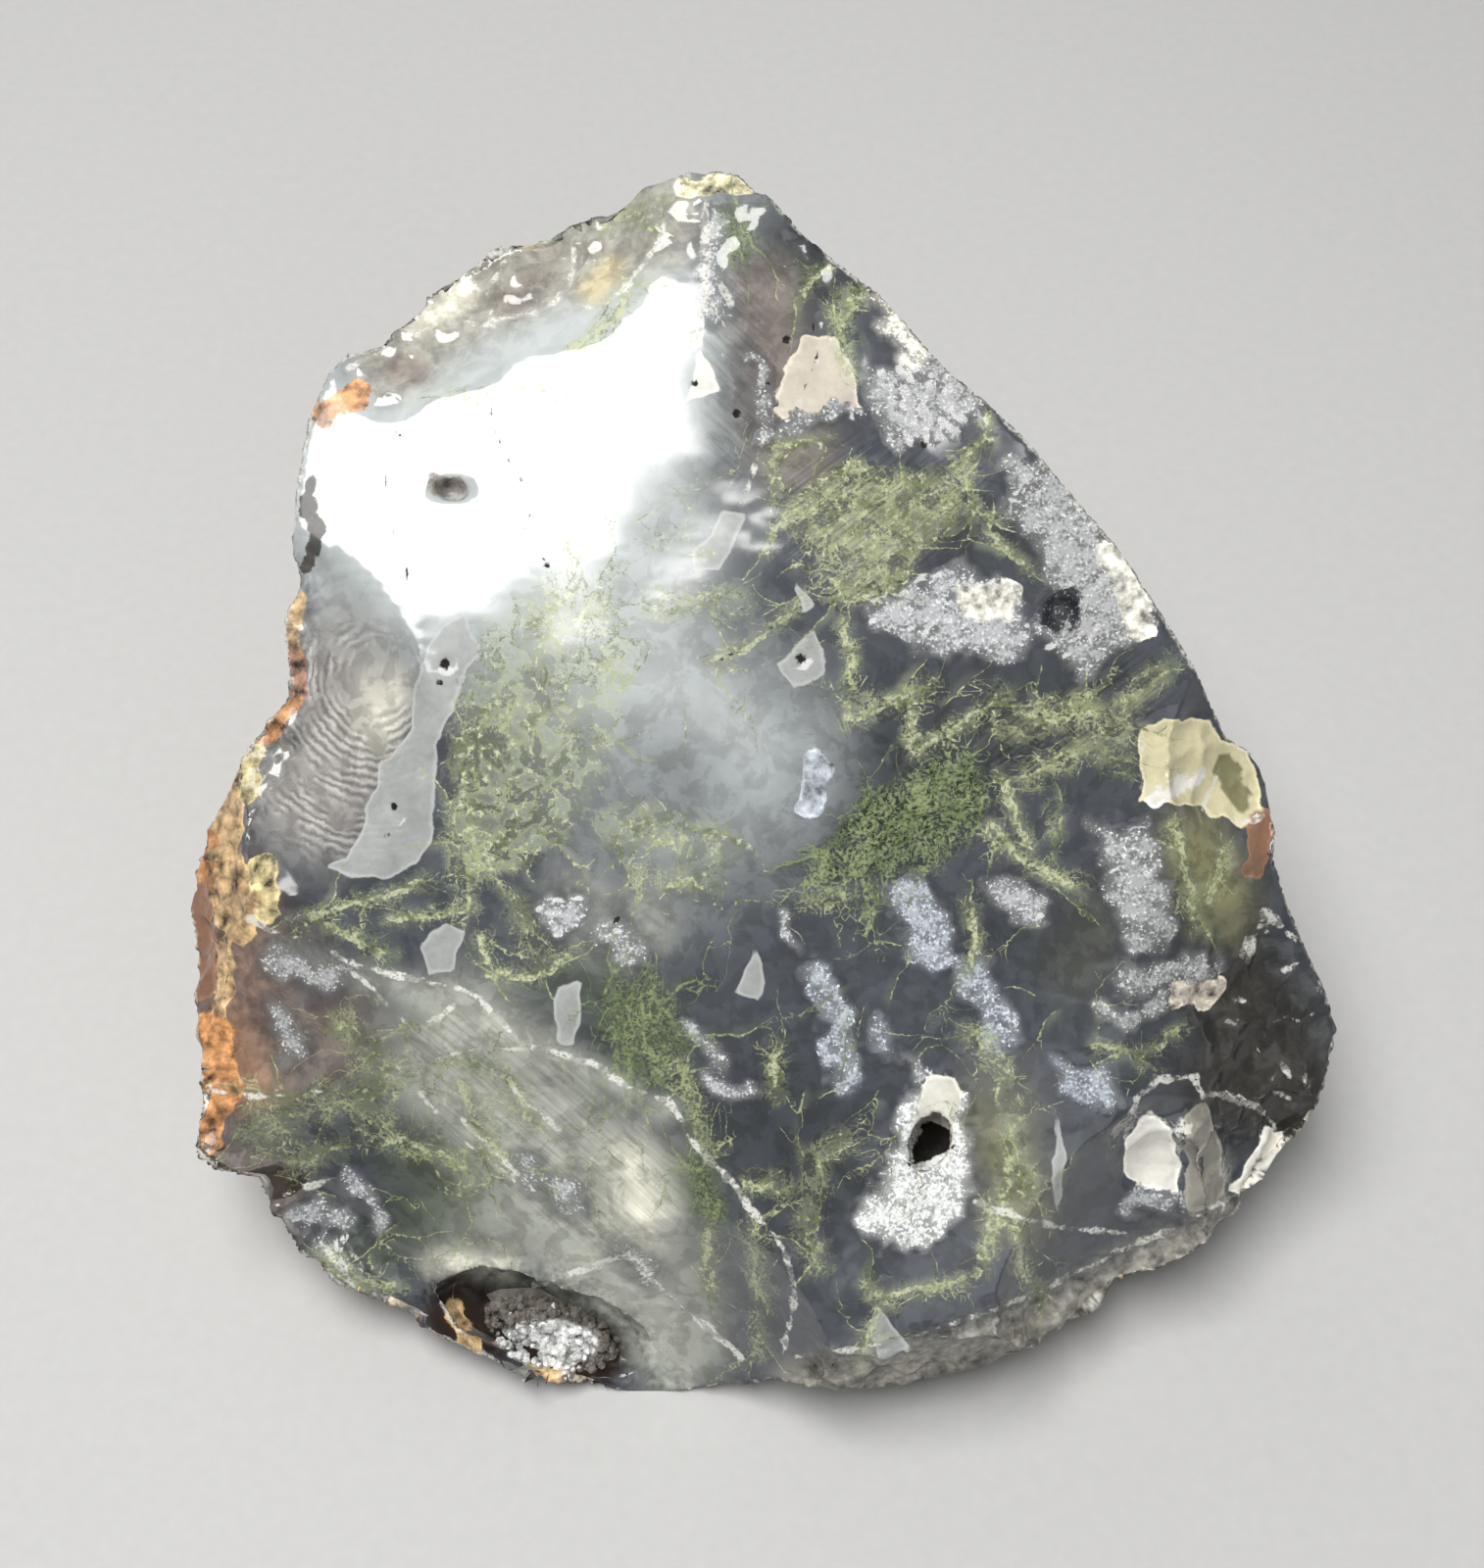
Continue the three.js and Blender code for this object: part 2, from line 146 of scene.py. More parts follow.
# Crisp patches: colour, grain, radius (0 for a filled outline), line of points.
PATCHES = [
    # quartz of the upper right
    ("cream quartz", 1, 1.8, [(14.5, 47), (15, 45), (17, 42.5)]),
    ("grey quartz", 1, 2.8, [(15, 37.5), (18.5, 38), (20.5, 37.5)]),
    ("grey quartz", 1, 2.2, [(15, 34.6), (18.5, 34.8)]),
    ("peach", 0.25, 0, [(3, 36), (3.5, 40), (6, 42.5), (9, 43), (10.5, 40), (11.5, 36), (8, 35), (5, 34.6)]),
    ("white quartz", 1, 0.7, [(2, 34.2), (6, 35), (11, 35.5)]),
    ("grey quartz", 1, 0, [(24.5, 31), (30, 30.5), (33, 28), (36, 23.5), (38, 20), (40, 16), (37, 13),
                            (33, 11), (30, 12), (28, 14.5), (30, 19), (29, 23), (26, 26)]),
    ("cream quartz", 0.6, 1.6, [(35.5, 22), (37.5, 18), (38, 15)]),
    ("smoke", 0.7, 1.8, [(30.3, 16), (31, 17.3)]),
    ("white quartz", 1, 0, [(12, 17), (15, 19), (20, 20.5), (25, 20), (27, 17.5), (28, 14), (25, 12.5),
                            (20, 12), (15, 13.5), (12, 15.5)]),
    ("cream quartz", 0.5, 1.9, [(22.5, 17.5), (25, 18)]),
    # crumbs of the upper right scar
    ("white quartz", 1, 1.0, [(-2.6, 55), (-2.8, 50), (-2.2, 46)]),
    ("grey quartz", 1, 0.8, [(0.2, 41), (1.8, 38), (3, 36)]),
    # quartz of the middle
    ("blue quartz", 0.6, 1.4, [(7.2, 2), (6.5, -1.5)]),
    ("blue quartz", 1, 0, [(13, -10), (17, -9), (20, -13), (20.5, -17), (18, -18), (15, -16.5)]),
    ("blue quartz", 1, 1.7, [(22, -18), (23.5, -21), (25, -25)]),
    ("white quartz", 1, 1.4, [(24.8, -10.6), (28.2, -12.3)]),
    ("blue quartz", 1, 1.5, [(6.8, -18), (9, -23), (10.5, -28.5)]),
    ("blue quartz", 1, 0.9, [(13.5, -23), (14, -25.5)]),
    ("white quartz", 1, 0.8, [(16, -27), (16.2, -27.4)]),
    ("white quartz", 1, 1.9, [(-18, -12.7), (-16.6, -12.2)]),
    ("white quartz", 1, 1.3, [(-12.5, -14.3), (-11.2, -16)]),
    ("white quartz", 1, 0.7, [(4.2, -13), (4.5, -15)]),
    ("white quartz", 1, 0.9, [(-5.3, -23.5), (-2, -26)]),
    ("white quartz", 1, 0.9, [(-3, -28), (0.5, -29.5)]),
    # quartz round the deep pit
    ("bright quartz", 1, 0, [(15.5, -29), (19, -27.5), (22, -29.5), (22.5, -33), (21.5, -38), (20, -43),
                            (17, -44.8), (13, -44), (11, -42), (11.5, -39), (14, -36), (15, -32)]),
    ("cream quartz", 0.2, 2.4, [(19, -30.2), (18.6, -32.5)]),
    # quartz of the right
    ("grey quartz", 1, 0, [(34, -3), (38, -3), (40, -5), (41, -10), (42, -14), (41, -16), (37, -16),
                            (36, -11), (33.5, -6)]),
    ("grey quartz", 1, 1.2, [(35, -21.5), (37.5, -22), (40, -21.3)]),
    ("grey quartz", 0.8, 1.5, [(37, -18.5), (41, -18.5), (44.5, -17.5)]),
    ("peach", 0.4, 1.3, [(42.3, -20.3), (45.5, -19.5)]),
    ("blue quartz", 1, 0, [(30, -26), (34, -27), (37, -31), (35, -32), (31, -30)]),
    ("white quartz", 0.8, 1.3, [(37.5, -40.5), (41, -40)]),
    ("crushed", 0.15, 0, [(36.5, -34), (39, -31.5), (41, -33), (42, -37), (42, -39.5), (37, -38)]),
    ("chip", 0.2, 0, [(42.2, -32), (44.5, -30.5), (46, -35), (46, -40.5), (42.7, -41)]),
    ("crushed", 0.15, 0, [(46.5, -39), (48.5, -36), (50, -33), (52, -33), (52, -36.5), (49.5, -39.5)]),
    # crumbs of the lower left
    ("white quartz", 1, 0.8, [(-21, -37), (-18, -38.8), (-16, -40)]),
    ("white quartz", 1, 1.1, [(-37.5, -37.6), (-35.5, -39), (-34.5, -41.5)]),
    ("white quartz", 1, 1.2, [(-42.5, -42.5), (-40.5, -41), (-38.5, -41.8)]),
    ("grey quartz", 1, 1.2, [(-40.5, -45), (-37.5, -47.5), (-36, -50)]),
    ("grey quartz", 0.9, 1.5, [(-44.5, -16), (-42, -17.5), (-39.5, -18.5)]),
    ("grey quartz", 0.9, 1.2, [(-44.5, -22), (-43, -25.5)]),
    ("grey quartz", 1, 1.0, [(-12, -44.5), (-10.5, -45.5), (-8.5, -47)]),
    # pale angular plates
    ("plate", 0, 0, [(-2.6, 25.2), (-2, 26.3), (0.5, 26), (0, 24.5), (-1, 22), (-2.5, 20.5), (-4.8, 20.8),
                     (-4.8, 22.5), (-3, 24)]),
    ("plate", 0.1, 0, [(7, 15), (8.2, 13), (8, 10.5), (5, 9), (3.5, 11.5), (5, 13)]),
    ("plate", 0, 0, [(5, 19.8), (7.3, 17), (5.8, 16.2)]),
    ("plate", 0.1, 0, [(-26.7, 16.7), (-25.8, 14), (-25, 12.5), (-26.5, 11), (-27, 8.5), (-28.5, 6), (-29, 3.5),
                       (-29.3, -2), (-29.5, -5), (-31, -7.5), (-34, -8.8), (-37.5, -9), (-39.5, -8), (-38, -7),
                       (-36.5, -4.5), (-35.5, -1), (-34.5, 2), (-32, 4.5), (-31.5, 8), (-31, 11.5), (-29.5, 14)]),
    ("plate", 0, 0, [(-28.5, -13.5), (-26.5, -14), (-28, -18), (-30, -18.5), (-31, -15.5)]),
    ("plate", 0, 0, [(-18, -19.5), (-15.3, -19), (-15.5, -22), (-16.2, -25), (-17.8, -25), (-18.2, -22)]),
    ("plate", 0, 0, [(1.5, -15.7), (2.3, -19), (1.5, -21), (-0.7, -20), (0, -18.5)]),
    ("cream quartz", 0, 0, [(-4, 42), (-2, 37.8), (-5.5, 36.2)]),
    ("plate", 0, 0, [(30, -31), (31, -36), (30.5, -41.5), (29.6, -38)]),
    ("plate", 0, 0, [(13, -49.8), (16, -54), (13, -55.2), (12, -53)]),
    # rind of the left edge
    ("tan", 0.6, 1.3, [(-42.7, 18), (-42.9, 15)]),
    ("rose", 0.4, 0.9, [(-43, 13.5), (-43.2, 9)]),
    ("orange", 0.6, 1.5, [(-44.3, 7.6), (-46, 5)]),
    ("rose", 0.4, 1.5, [(-47.5, 4), (-48.5, 2)]),
    ("straw", 0.4, 1.2, [(-47, 2), (-47, -1)]),
    ("tan", 0.6, 1.7, [(-49.6, -1), (-50, -5)]),
    ("orange", 0.6, 1.5, [(-52, -5.6), (-51, -8.6)]),
    ("straw", 0.4, 1.4, [(-46, -8.6), (-46, -12)]),
    ("tan", 0.6, 1.6, [(-49, -8), (-48.5, -14)]),
    ("rose", 0.2, 1.8, [(-52.5, -11), (-52.5, -19)]),
    ("tan", 0.6, 0.9, [(-50, -15), (-50, -22)]),
    ("orange", 0.4, 2.4, [(-51, -24), (-50.5, -29), (-52, -33)]),
    ("rust_and_shade", 0.3, 2.0, [(-53, -36), (-50, -39), (-44, -38)]),
    ("orange", 0.5, 1.2, [(-39.8, 35.6), (-36.5, 37.6)]),
    ("rust_and_shade", 0.5, 0.6, [(-41.7, 29), (-40.6, 24), (-42, 21)]),
    # tip and pit of the upper left
    ("lime", 0.35, 1.0, [(-5.5, 57.3), (0, 58)]),
    ("umber", 0.6, 0.9, [(-29.4, 28.4), (-28, 28.2), (-27, 27.9)]),
    # flake of the right edge
    ("lime", 0.2, 0, [(38, -1.5), (38.5, 5), (40.5, 6.5), (45, 6.3), (46, 4), (48.5, 3.3), (49.5, 0), (50.5, -3),
                      (47.5, -4), (44, -2.5)]),
    ("crushed", 0.2, 0.9, [(39.5, -1.5), (42, 0), (44, 1)]),
    ("olive", 0.2, 1.1, [(46.5, 1.6), (48, -1.5)]),
    ("rose", 0.3, 1.3, [(49.8, -3.5), (49.3, -8)]),
    # hollow of the lower rim
    ("tan", 0.6, 1.2, [(-27.5, -51), (-26, -53.5)]),
]

# Moss: tone (0 dark and dense, 1 pale), radius (0 for a filled outline), line of points.
MOSS = [
    (1.0, 0, [(-26, 10), (-24, 16), (-19, 20), (-13, 19.5), (-10, 14), (-10, 10), (-13, 3), (-14, -2), (-17, -6),
              (-22, -9), (-28, -9.5), (-29, -5), (-28, 0), (-27.5, 5)]),
    (0.6, 1.8, [(-26, 5), (-26, -2), (-25.5, -8)]),
    (0.9, 1.4, [(-8.5, 16.5), (-4, 17.3), (-0.5, 18.3)]),
    (0.6, 0.8, [(-3, 12), (2, 14.5), (5, 17)]),
    (0.6, 0.7, [(10, 15), (10.5, 12), (10, 9), (9.7, 5.7)]),
    (0.8, 1.3, [(10.5, 7), (13.5, 7.8)]),
    (0.8, 0.7, [(14, 8), (18, 9.5)]),
    (0.8, 0.8, [(16, 7), (16.5, 3)]),
    (0.7, 0.8, [(17, 3), (22, 6), (25, 9)]),
    (0.0, 0, [(9, -4), (12, -0.5), (15.5, 0.5), (19, 3), (23, 2), (24, -2), (22, -6), (18, -9), (13, -9), (9, -10),
              (5.5, -9)]),
    (0.3, 1.1, [(6, -11), (9, -10.5), (12, -11)]),
    (0.7, 0.8, [(25, 0.5), (26, -3), (28, -6)]),
    (0.7, 0.9, [(24, -4), (28, -8), (32.5, -10)]),
    (0.5, 2.0, [(27, 6), (32, 7), (36, 5)]),
    (0.5, 1.6, [(28, 1), (33, 3), (37, 2)]),
    (0.5, 1.3, [(29.5, -2.5), (30, -4.5)]),
    (0.6, 1.4, [(37, 8), (41, 11)]),
    (0.8, 2.0, [(-12, -4), (-6, -4.5), (-2, -6)]),
    (0.6, 1.2, [(-10, -9), (-3, -9)]),
    (0.15, 0, [(-13, -18), (-9, -17), (-6, -20), (-5, -25), (-7, -28), (-11, -28), (-13.5, -24)]),
    (0.6, 0.8, [(-42, -12.5), (-36, -11), (-30, -9)]),
    (0.6, 0.7, [(-42, -12.7), (-36, -15.5), (-33.5, -16.5)]),
    (0.6, 0.7, [(-34, -13), (-26, -12)]),
    (0.4, 0.9, [(-25, -15), (-24, -18), (-21, -18.5), (-17, -16.5)]),
    (0.4, 1.3, [(-22, -11), (-20, -15)]),
    (0.35, 2.2, [(-46, -33), (-42, -31.5), (-38, -30), (-35, -31)]),
    (0.35, 1.8, [(-38, -23), (-35, -26), (-36, -29)]),
    (0.4, 1.3, [(-43, -36), (-39, -35)]),
    (0.35, 1.1, [(-30, -27), (-27, -26.5), (-24, -27.5)]),
    (0.4, 1.0, [(-27, -29), (-25, -33), (-23, -37)]),
    (0.4, 0.9, [(-23, -28), (-20, -33)]),
    (0.4, 0.9, [(-34, -34), (-29, -35), (-26, -37)]),
    (0.4, 0.9, [(3.7, -25.5), (3, -30)]),
    (0.3, 1.4, [(-6, -27), (-4.5, -31), (-4, -34)]),
    (0.1, 1.7, [(-4.5, -37), (-3, -41.5)]),
    (0.6, 0.9, [(-3.4, -43.5), (-3.5, -49)]),
    (0.5, 1.3, [(1, -42.5), (2.3, -50), (1, -54)]),
    (0.5, 1.3, [(10, -34), (7, -35.5), (7, -39), (6, -42), (7, -46)]),
    (0.5, 1.0, [(0.5, -38), (4, -38.2)]),
    (0.7, 1.3, [(11.5, -47.5), (14, -49.5)]),
    (0.9, 0.7, [(13, -50), (11.5, -55)]),
    (0.7, 0.55, [(14, -48.5), (18, -48), (22.5, -47.5), (23.5, -44), (23.5, -40.5)]),
    (0.8, 1.2, [(26.5, -30.5), (26, -34), (27.5, -37.5)]),
    (0.7, 0.9, [(25.5, -36), (24, -41), (24, -45), (23, -47)]),
    (0.7, 0.9, [(25.5, -41), (27, -45), (28, -48.5)]),
    (0.7, 0.6, [(34, -25), (38, -26), (39, -27.5)]),
    (0.7, 0.5, [(38, -26), (42.5, -23.5)]),
    (0.6, 1.0, [(46, -6), (45, -12)]),
    (0.6, 0.8, [(41, -4), (43, -10), (44, -14)]),
    (0.5, 0, [(4, 25), (8, 30), (12, 30.5), (16, 30), (20, 30), (22, 26), (18, 23), (15, 19), (10.5, 18),
              (9, 20.5), (6, 23), (3, 24)]),
    (0.9, 0.5, [(2.5, 22.5), (4, 25.5), (8, 29.5), (12, 30)]),
    (0.9, 0.5, [(9, 20), (11, 18.3), (15, 19.5), (16, 21)]),
    (0.8, 0.7, [(20, 30), (23, 33), (24.5, 36.5)]),
    (0.8, 0.5, [(22, 30.5), (22, 26.5), (24, 25.5), (24, 24), (28, 21)]),
    (0.9, 0.55, [(3.5, 32.5), (3, 29), (3.5, 26.5)]),
    (0.9, 0.5, [(4, 32.7), (8, 32.8)]),
    (0.9, 1.1, [(10.5, 47), (9.5, 44.5), (10.3, 42), (11, 39)]),
    (0.2, 1.6, [(-1, 55), (-0.5, 51)]),
    (0.5, 0.7, [(5.5, 46), (7.5, 48.5), (9.5, 50)]),
    (0.9, 1.0, [(-27, 37), (-20, 38), (-14, 43), (-11, 47)]),
    (0.6, 1.3, [(-12, 54), (-7, 55.5)]),
    (0.5, 1.3, [(22, -24.5), (25, -27), (25.3, -29)]),
    (0.5, 0.9, [(21.8, -12), (22.5, -15), (21.3, -18)]),
    (0.6, 0.9, [(-40, -45), (-37, -48), (-33, -48)]),
]

# Which way the moss grows in each part of the face: middle of the part, reach, heading in degrees.
MOSS_HEADINGS = [
    ((-20, 4), 16, 78), ((14, 24), 14, 38), ((26, 4), 14, 48), ((14, -4), 10, 60), ((-9, -22), 10, 85),
    ((-36, -12), 8, 15), ((-40, -31), 9, 35), ((-26, -31), 9, -48), ((4, -38), 12, 80), ((26, -38), 9, 80),
    ((-18, 42), 10, 30), ((10, 44), 8, 75),
]
THREAD_STEP = 0.4
THREAD_SEED = 5
# Guessed looks of the back: grain of its weathered skin, tone of its moss, ground colours with level and sign.
SKIN_GRAIN = 0.45
BACK_MOSS_TONE = 0.45
BACK_GROUND = [("ripple grey", -0.9, 1), ("smoke", 0.1, 1), ("milk", 0.35, 1), ("umber", 0.2, -1)]
BACK_GROUND_SHARE = 0.6
# Parts with a few stray threads: threads in each square millimetre, outline.
STRAY = [
    (0.03, [(-30, -9), (0, -9), (30, -9), (36, -20), (30, -46), (6, -52), (-6, -46), (-7, -30), (-24, -19)]),
    (0.03, [(5, 16), (28, 10), (40, 12), (36, 0), (24, -4), (9, 4)]),
    (0.06, [(-42, -20), (-30, -20), (-14, -28), (-8, -40), (-20, -45), (-36, -46), (-46, -36)]),
    (0.03, [(-8, 30), (4, 30), (6, 18), (4, 2), (-10, 2), (-12, 20)]),
]

# Streaked parts: 1 for streaks that rise to the right and -1 for streaks that fall, radius, line of points.
COMBED = [
    (1, 0, [(3, 23), (4, 30), (10, 33), (22, 35), (24, 28), (19, 22), (14, 18), (9, 18)]),
    (1, 3.5, [(26, 3), (33, 7), (38, 9)]),
    (-1, 0, [(-33, -22), (-26, -21.5), (-14, -28), (-6, -34), (-6, -44), (-14, -45), (-24, -40), (-31, -30)]),
    (-1, 3, [(-2, 47), (0, 40), (-1, 33)]),
]
# The scar with fine fracture ripples about one spot.
RIPPLED = [(-43, 14), (-36, 15), (-31, 12), (-30, 4), (-33, -6), (-40, -8), (-45, -3), (-46, 4)]
RIPPLE_MIDDLE = (-36.0, 10.0, 0.0)
RIPPLE_MM = 0.8

# White crushed lines, and painted glints on the black chips of the right edge: radius and line of points.
CRUSHED_LINES_AND_GLINTS = [
    (0.16, [(-47.5, -12.7), (-45, -14), (-41, -15), (-38, -17), (-33, -18.3), (-28, -19.3), (-25.5, -20.3),
            (-24, -22), (-21, -24.8), (-14, -27), (-11, -29), (-7, -30.5), (-5, -34), (-3, -36), (-0.5, -38.5),
            (0.5, -40.5), (3, -43), (4.5, -46), (5, -50), (4, -54.5)]),
    (0.05, [(-40, -16.5), (-36, -19), (-32, -23)]),
    (0.04, [(-32, -24), (-27, -21)]),
    (0.05, [(-29.5, -26.5), (-25, -25.3), (-20, -25.5)]),
    (0.06, [(-52, -29.3), (-46, -30), (-40, -29.5)]),
    (0.16, [(22, -40), (24, -40.8), (30, -42.5), (37, -43.2)]),
    (0.30, [(-11, -45), (-15, -46.5), (-20, -48)]),
    (0.22, [(-10.5, -45.5), (-6, -50), (0, -55)]),
    (0.03, [(7.7, 44), (7.5, 41), (5.5, 36.5)]),
    (0.03, [(2.5, 34), (0, 27)]),
    (0.22, [(36.8, -33.5), (38, -30), (40, -28.5), (43, -28), (44.2, -30)]),
    (0.22, [(44, -30), (46, -29.7), (49.5, -31), (52, -34)]),
    (0.2, [(48.5, -17), (50, -12), (53, -15)]),
    (0.3, [(-3.5, 56), (-3.5, 46), (-5, 42)]),
    (0.12, [(-38, 40), (-34.5, 41.5), (-31.5, 43.5), (-31, 46.5)]),
    (0.14, [(-31, 43), (-27, 44.5), (-24, 44.2), (-24.5, 47.5), (-22, 51)]),
    (0.12, [(-24, 44.5), (-19, 45.5), (-16.5, 47.5), (-16, 51.5)]),
    (0.12, [(-16, 46), (-14, 45.5), (-11.3, 47.5), (-12, 50.5), (-15, 50)]),
    (0.12, [(-11, 48), (-8, 52), (-7, 55)]),
    # painted glints: short white streaks standing in for reflections on the black chips
    (0.02, [(50, -13.5), (50.8, -16)]),
    (0.02, [(52, -18), (53.2, -17.2)]),
    (0.02, [(51, -23), (52.4, -22.2), (53.5, -22.8)]),
    (0.02, [(54.5, -22), (55.2, -24)]),
    (0.02, [(49, -24.5), (50, -26)]),
    (0.02, [(52, -27), (53, -28.8)]),
    (0.02, [(47, -20.5), (48.2, -21)]),
    (0.02, [(54, -28), (54.5, -30)]),
    (0.02, [(50.5, -29.5), (52.5, -30.2)]),
    (0.15, [(47.8, -16.5), (48.8, -14.5)]),
    (0.02, [(55, -19.5), (56, -21)]),
    (0.10, [(-40.5, -44), (-38, -47), (-36.5, -50.5)]),
    (0.08, [(-38.5, -43.5), (-36, -47), (-34.5, -50)]),
    (0.12, [(-44, -39.5), (-41, -38.5), (-38.5, -37.5)]),
    (0.05, [(-30, -29), (-25, -34), (-20, -39)]),
    (0.04, [(-27, -25), (-20, -31), (-13, -37)]),
    (0.04, [(-33, -27), (-28, -33), (-22, -38)]),
    (0.15, [(36.6, -34), (39, -31.5), (41, -33)]),
    (0.12, [(42, -32.5), (42, -37), (42.4, -41)]),
    (0.12, [(45.6, -34), (46.3, -38), (46, -40.8)]),
    (0.05, [(-3.4, 52), (-1, 46)]),
    (0.05, [(-3.8, 48), (-1.2, 43)]),
    (0.05, [(-4, 44), (-0.5, 39.5)]),
    (0.06, [(6, 46), (8, 48.5), (9.5, 50)]),
    (0.14, [(38.5, -1.2), (41, 0.4), (44, 1.2)]),
    (0.08, [(44, -2.5), (46, 1.5), (46, 4)]),
    (0.10, [(38.2, -1.5), (38.6, 5)]),
    (0.08, [(45, -3), (48.5, -3.6), (50.3, -3)]),
    (0.12, [(5, -55), (15, -53.5), (24, -50.5), (30, -48), (36, -45), (41, -43), (46, -40), (52, -37)]),
]

# The rind of the left edge: half its width and its line of points.
RIND_MM = 3
RIND = [(-42, 20), (-44, 8), (-51, -4), (-52, -20), (-53, -36)]
# How softly the chipped and the dull parts end.
EDGE_MM = 1.5

# Chipped parts of the face: size of the scars in millimetres, depth, mottling, radius, line of points.
CHIPPED = [
    (4.6, 1.0, 0.3, 4.0, [(-34, 40), (-29, 45.5), (-22, 49), (-14, 52), (-6, 55.5)]),
    (4.2, 1.5, 0.2, 5.0, [(48, -18), (51, -24), (50, -31)]),
    (5.0, 1.3, 0.1, 4.0, [(40, -35), (46, -35), (50, -36)]),
    (2.6, 1.3, 1.0, 2.8, [(8, -57), (20, -54.5), (31, -50.5), (43, -44), (51, -39)]),
    (3.5, 0.8, 0.1, 3.5, [(42, 3), (47, -2), (49, -7)]),
    (2.6, 1.2, 0.7, 3.2, [(-43, 18), (-45, 6), (-50, -5), (-51, -20), (-52, -33)]),
    (4.0, 0.7, 0.3, 4.0, [(-45, -17), (-44, -26)]),
    (3.4, 1.0, 0.3, 4.5, [(-46, -37), (-40, -44), (-34, -49)]),
    (3.0, 0.5, 0.4, 3.0, [(-1.5, 54), (0, 48), (5, 50)]),
    (2.2, 0.8, 0.8, 1.6, [(-31, -50), (-28, -47), (-21, -47), (-14, -50.5), (-9, -54)]),
    (2.2, 0.9, 0.8, 1.6, [(-33, -53.5), (-25, -56), (-16, -57.5), (-6, -58)]),
]

# Parts without gloss: share, radius, line of points.
MATTE = [
    (1.0, 3.2, [(-3, 39), (-1, 34), (1, 31.5), (8, 28.5), (14, 28), (20, 29), (24, 32)]),
    (0.75, 6.0, [(48, -18), (51, -24), (50, -31)]),
    (1.0, 3.4, [(-27, -51), (-21, -52), (-14.5, -54.5)]),
    (0.8, 3.0, [(8, -57), (20, -54.5), (31, -50.5), (43, -44), (51, -39)]),
]

# Thin dotted cracks: lines of points.
CRACKS = [
    [(-34.6, 31), (-34, 28), (-33.3, 25), (-32.5, 22), (-32, 19)],
    [(-24.7, 38), (-24, 35), (-22.5, 31)],
    [(-22, 31), (-20, 27), (-21.5, 23.5)],
    [(-20, 23), (-18.3, 20)],
    [(-36, 37), (-33, 33.5), (-30.5, 31)],
    [(-3, 12), (0.5, 13.2), (4, 16)],
    [(7, 44), (7.4, 41), (5.5, 36.5)],
]

# Openings painted dark as the shade inside them, with no hole in the mesh: outlines.
OPENINGS = [
    [(17.3, -32.6), (19.2, -32.4), (20.3, -33), (20.2, -35), (18.6, -36), (16.2, -36.6), (16.0, -35.2),
     (16.8, -34.4)],
]

# Dark holes and specks, painted near-black for their dark brown and the shade inside them: place and radius.
SPECKS = [
    (-28.4, 11.5, 0.6), (-29, 9.7, 0.3), (-33.3, -2.2, 0.35), (-34, -5, 0.35), (4.2, 42.5, 0.45), (-0.5, 35.5, 0.5),
    (2.6, 38.5, 0.3), (17.4, 32.6, 0.35), (-4.5, 38.5, 0.4), (5.7, 12, 0.6), (-2, 12.2, 0.25), (-12, -13, 0.35),
    (-34, 28, 0.2), (-18.8, 21, 0.3),
]


def on_face(points):
    """Points in metres as millimetres on the broken face: x, y and how far out."""
    return (points / MM - FACE_CENTRE) @ FACE_AXES.T


def off_face(spot):
    return (FACE_CENTRE + np.asarray(spot, float) @ FACE_AXES) * MM


def as_seen(face_points):
    """Where points of the face stand in the square-on view."""
    return face_points[:, :2] * (VIEW_MM / (VIEW_MM - face_points[:, 2]))[:, None]


def line_distance(spots, line):
    best = np.full(len(spots), np.inf)
    line = np.asarray(line, float)
    for start, end in zip(line[:-1], line[1:]):
        along = end - start
        share = np.clip((spots - start) @ along / max(along @ along, 1e-9), 0, 1)
        best = np.minimum(best, np.linalg.norm(spots - start - share[:, None] * along, axis=1))
    return best


def outline_distance(spots, outline):
    """Distance to a closed outline, negative inside."""
    closed = list(outline) + [outline[0]]
    inside = np.zeros(len(spots), bool)
    for (x0, y0), (x1, y1) in zip(closed[:-1], closed[1:]):
        crosses = (y0 > spots[:, 1]) != (y1 > spots[:, 1])
        reach = x0 + (spots[:, 1] - y0) / (y1 - y0 if y1 != y0 else 1e-9) * (x1 - x0)
        inside ^= crosses & (spots[:, 0] < reach)
    return line_distance(spots, closed) * np.where(inside, -1, 1)


def marking_distance(spots, radius, line):
    """Distance to a marking, worked out only near it."""
    line = np.asarray(line, float)
    near = ((spots > line.min(0) - radius - FAR) & (spots < line.max(0) + radius + FAR)).all(1)
    distance = np.full(len(spots), FAR)
    if radius:
        distance[near] = line_distance(spots[near], line) - radius
    else:
        distance[near] = outline_distance(spots[near], [tuple(p) for p in line])
    return np.minimum(distance, FAR)


def soft_step(low, high, values):
    share = np.clip((values - low) / (high - low), 0, 1)
    return share * share * (3 - 2 * share)


def within(gap, soft):
    """1 well inside a marking and 0 well outside it."""
    return 1 - soft_step(-soft, soft, gap)


def face_share(normals):
    """1 on the broken face and 0 on the sides, the back and the underside."""
    return soft_step(0.05, 0.4, normals @ FACE_AXES[2])


def mixed(share, first, second):
    return share * first + (1 - share) * second


def noise_at(points_mm, size, seed, octaves=1):
    """Smooth noise from about -1 to 1 with features of the given size in millimetres."""
    scaled = points_mm / size + seed * 17.3
    if octaves == 1:
        return np.array([noise.noise(Vector(p)) for p in scaled])
    return np.array([noise.fractal(Vector(p), 0.8, 2.0, octaves) for p in scaled])


def inside_spots(draw, outline, count):
    outline = np.asarray(outline, float)
    found = []
    while len(found) < count:
        spot = np.array([draw.uniform(low, high) for low, high in zip(outline.min(0), outline.max(0))])
        if outline_distance(spot[None], [tuple(p) for p in outline])[0] < 0:
            found.append(spot)
    return found


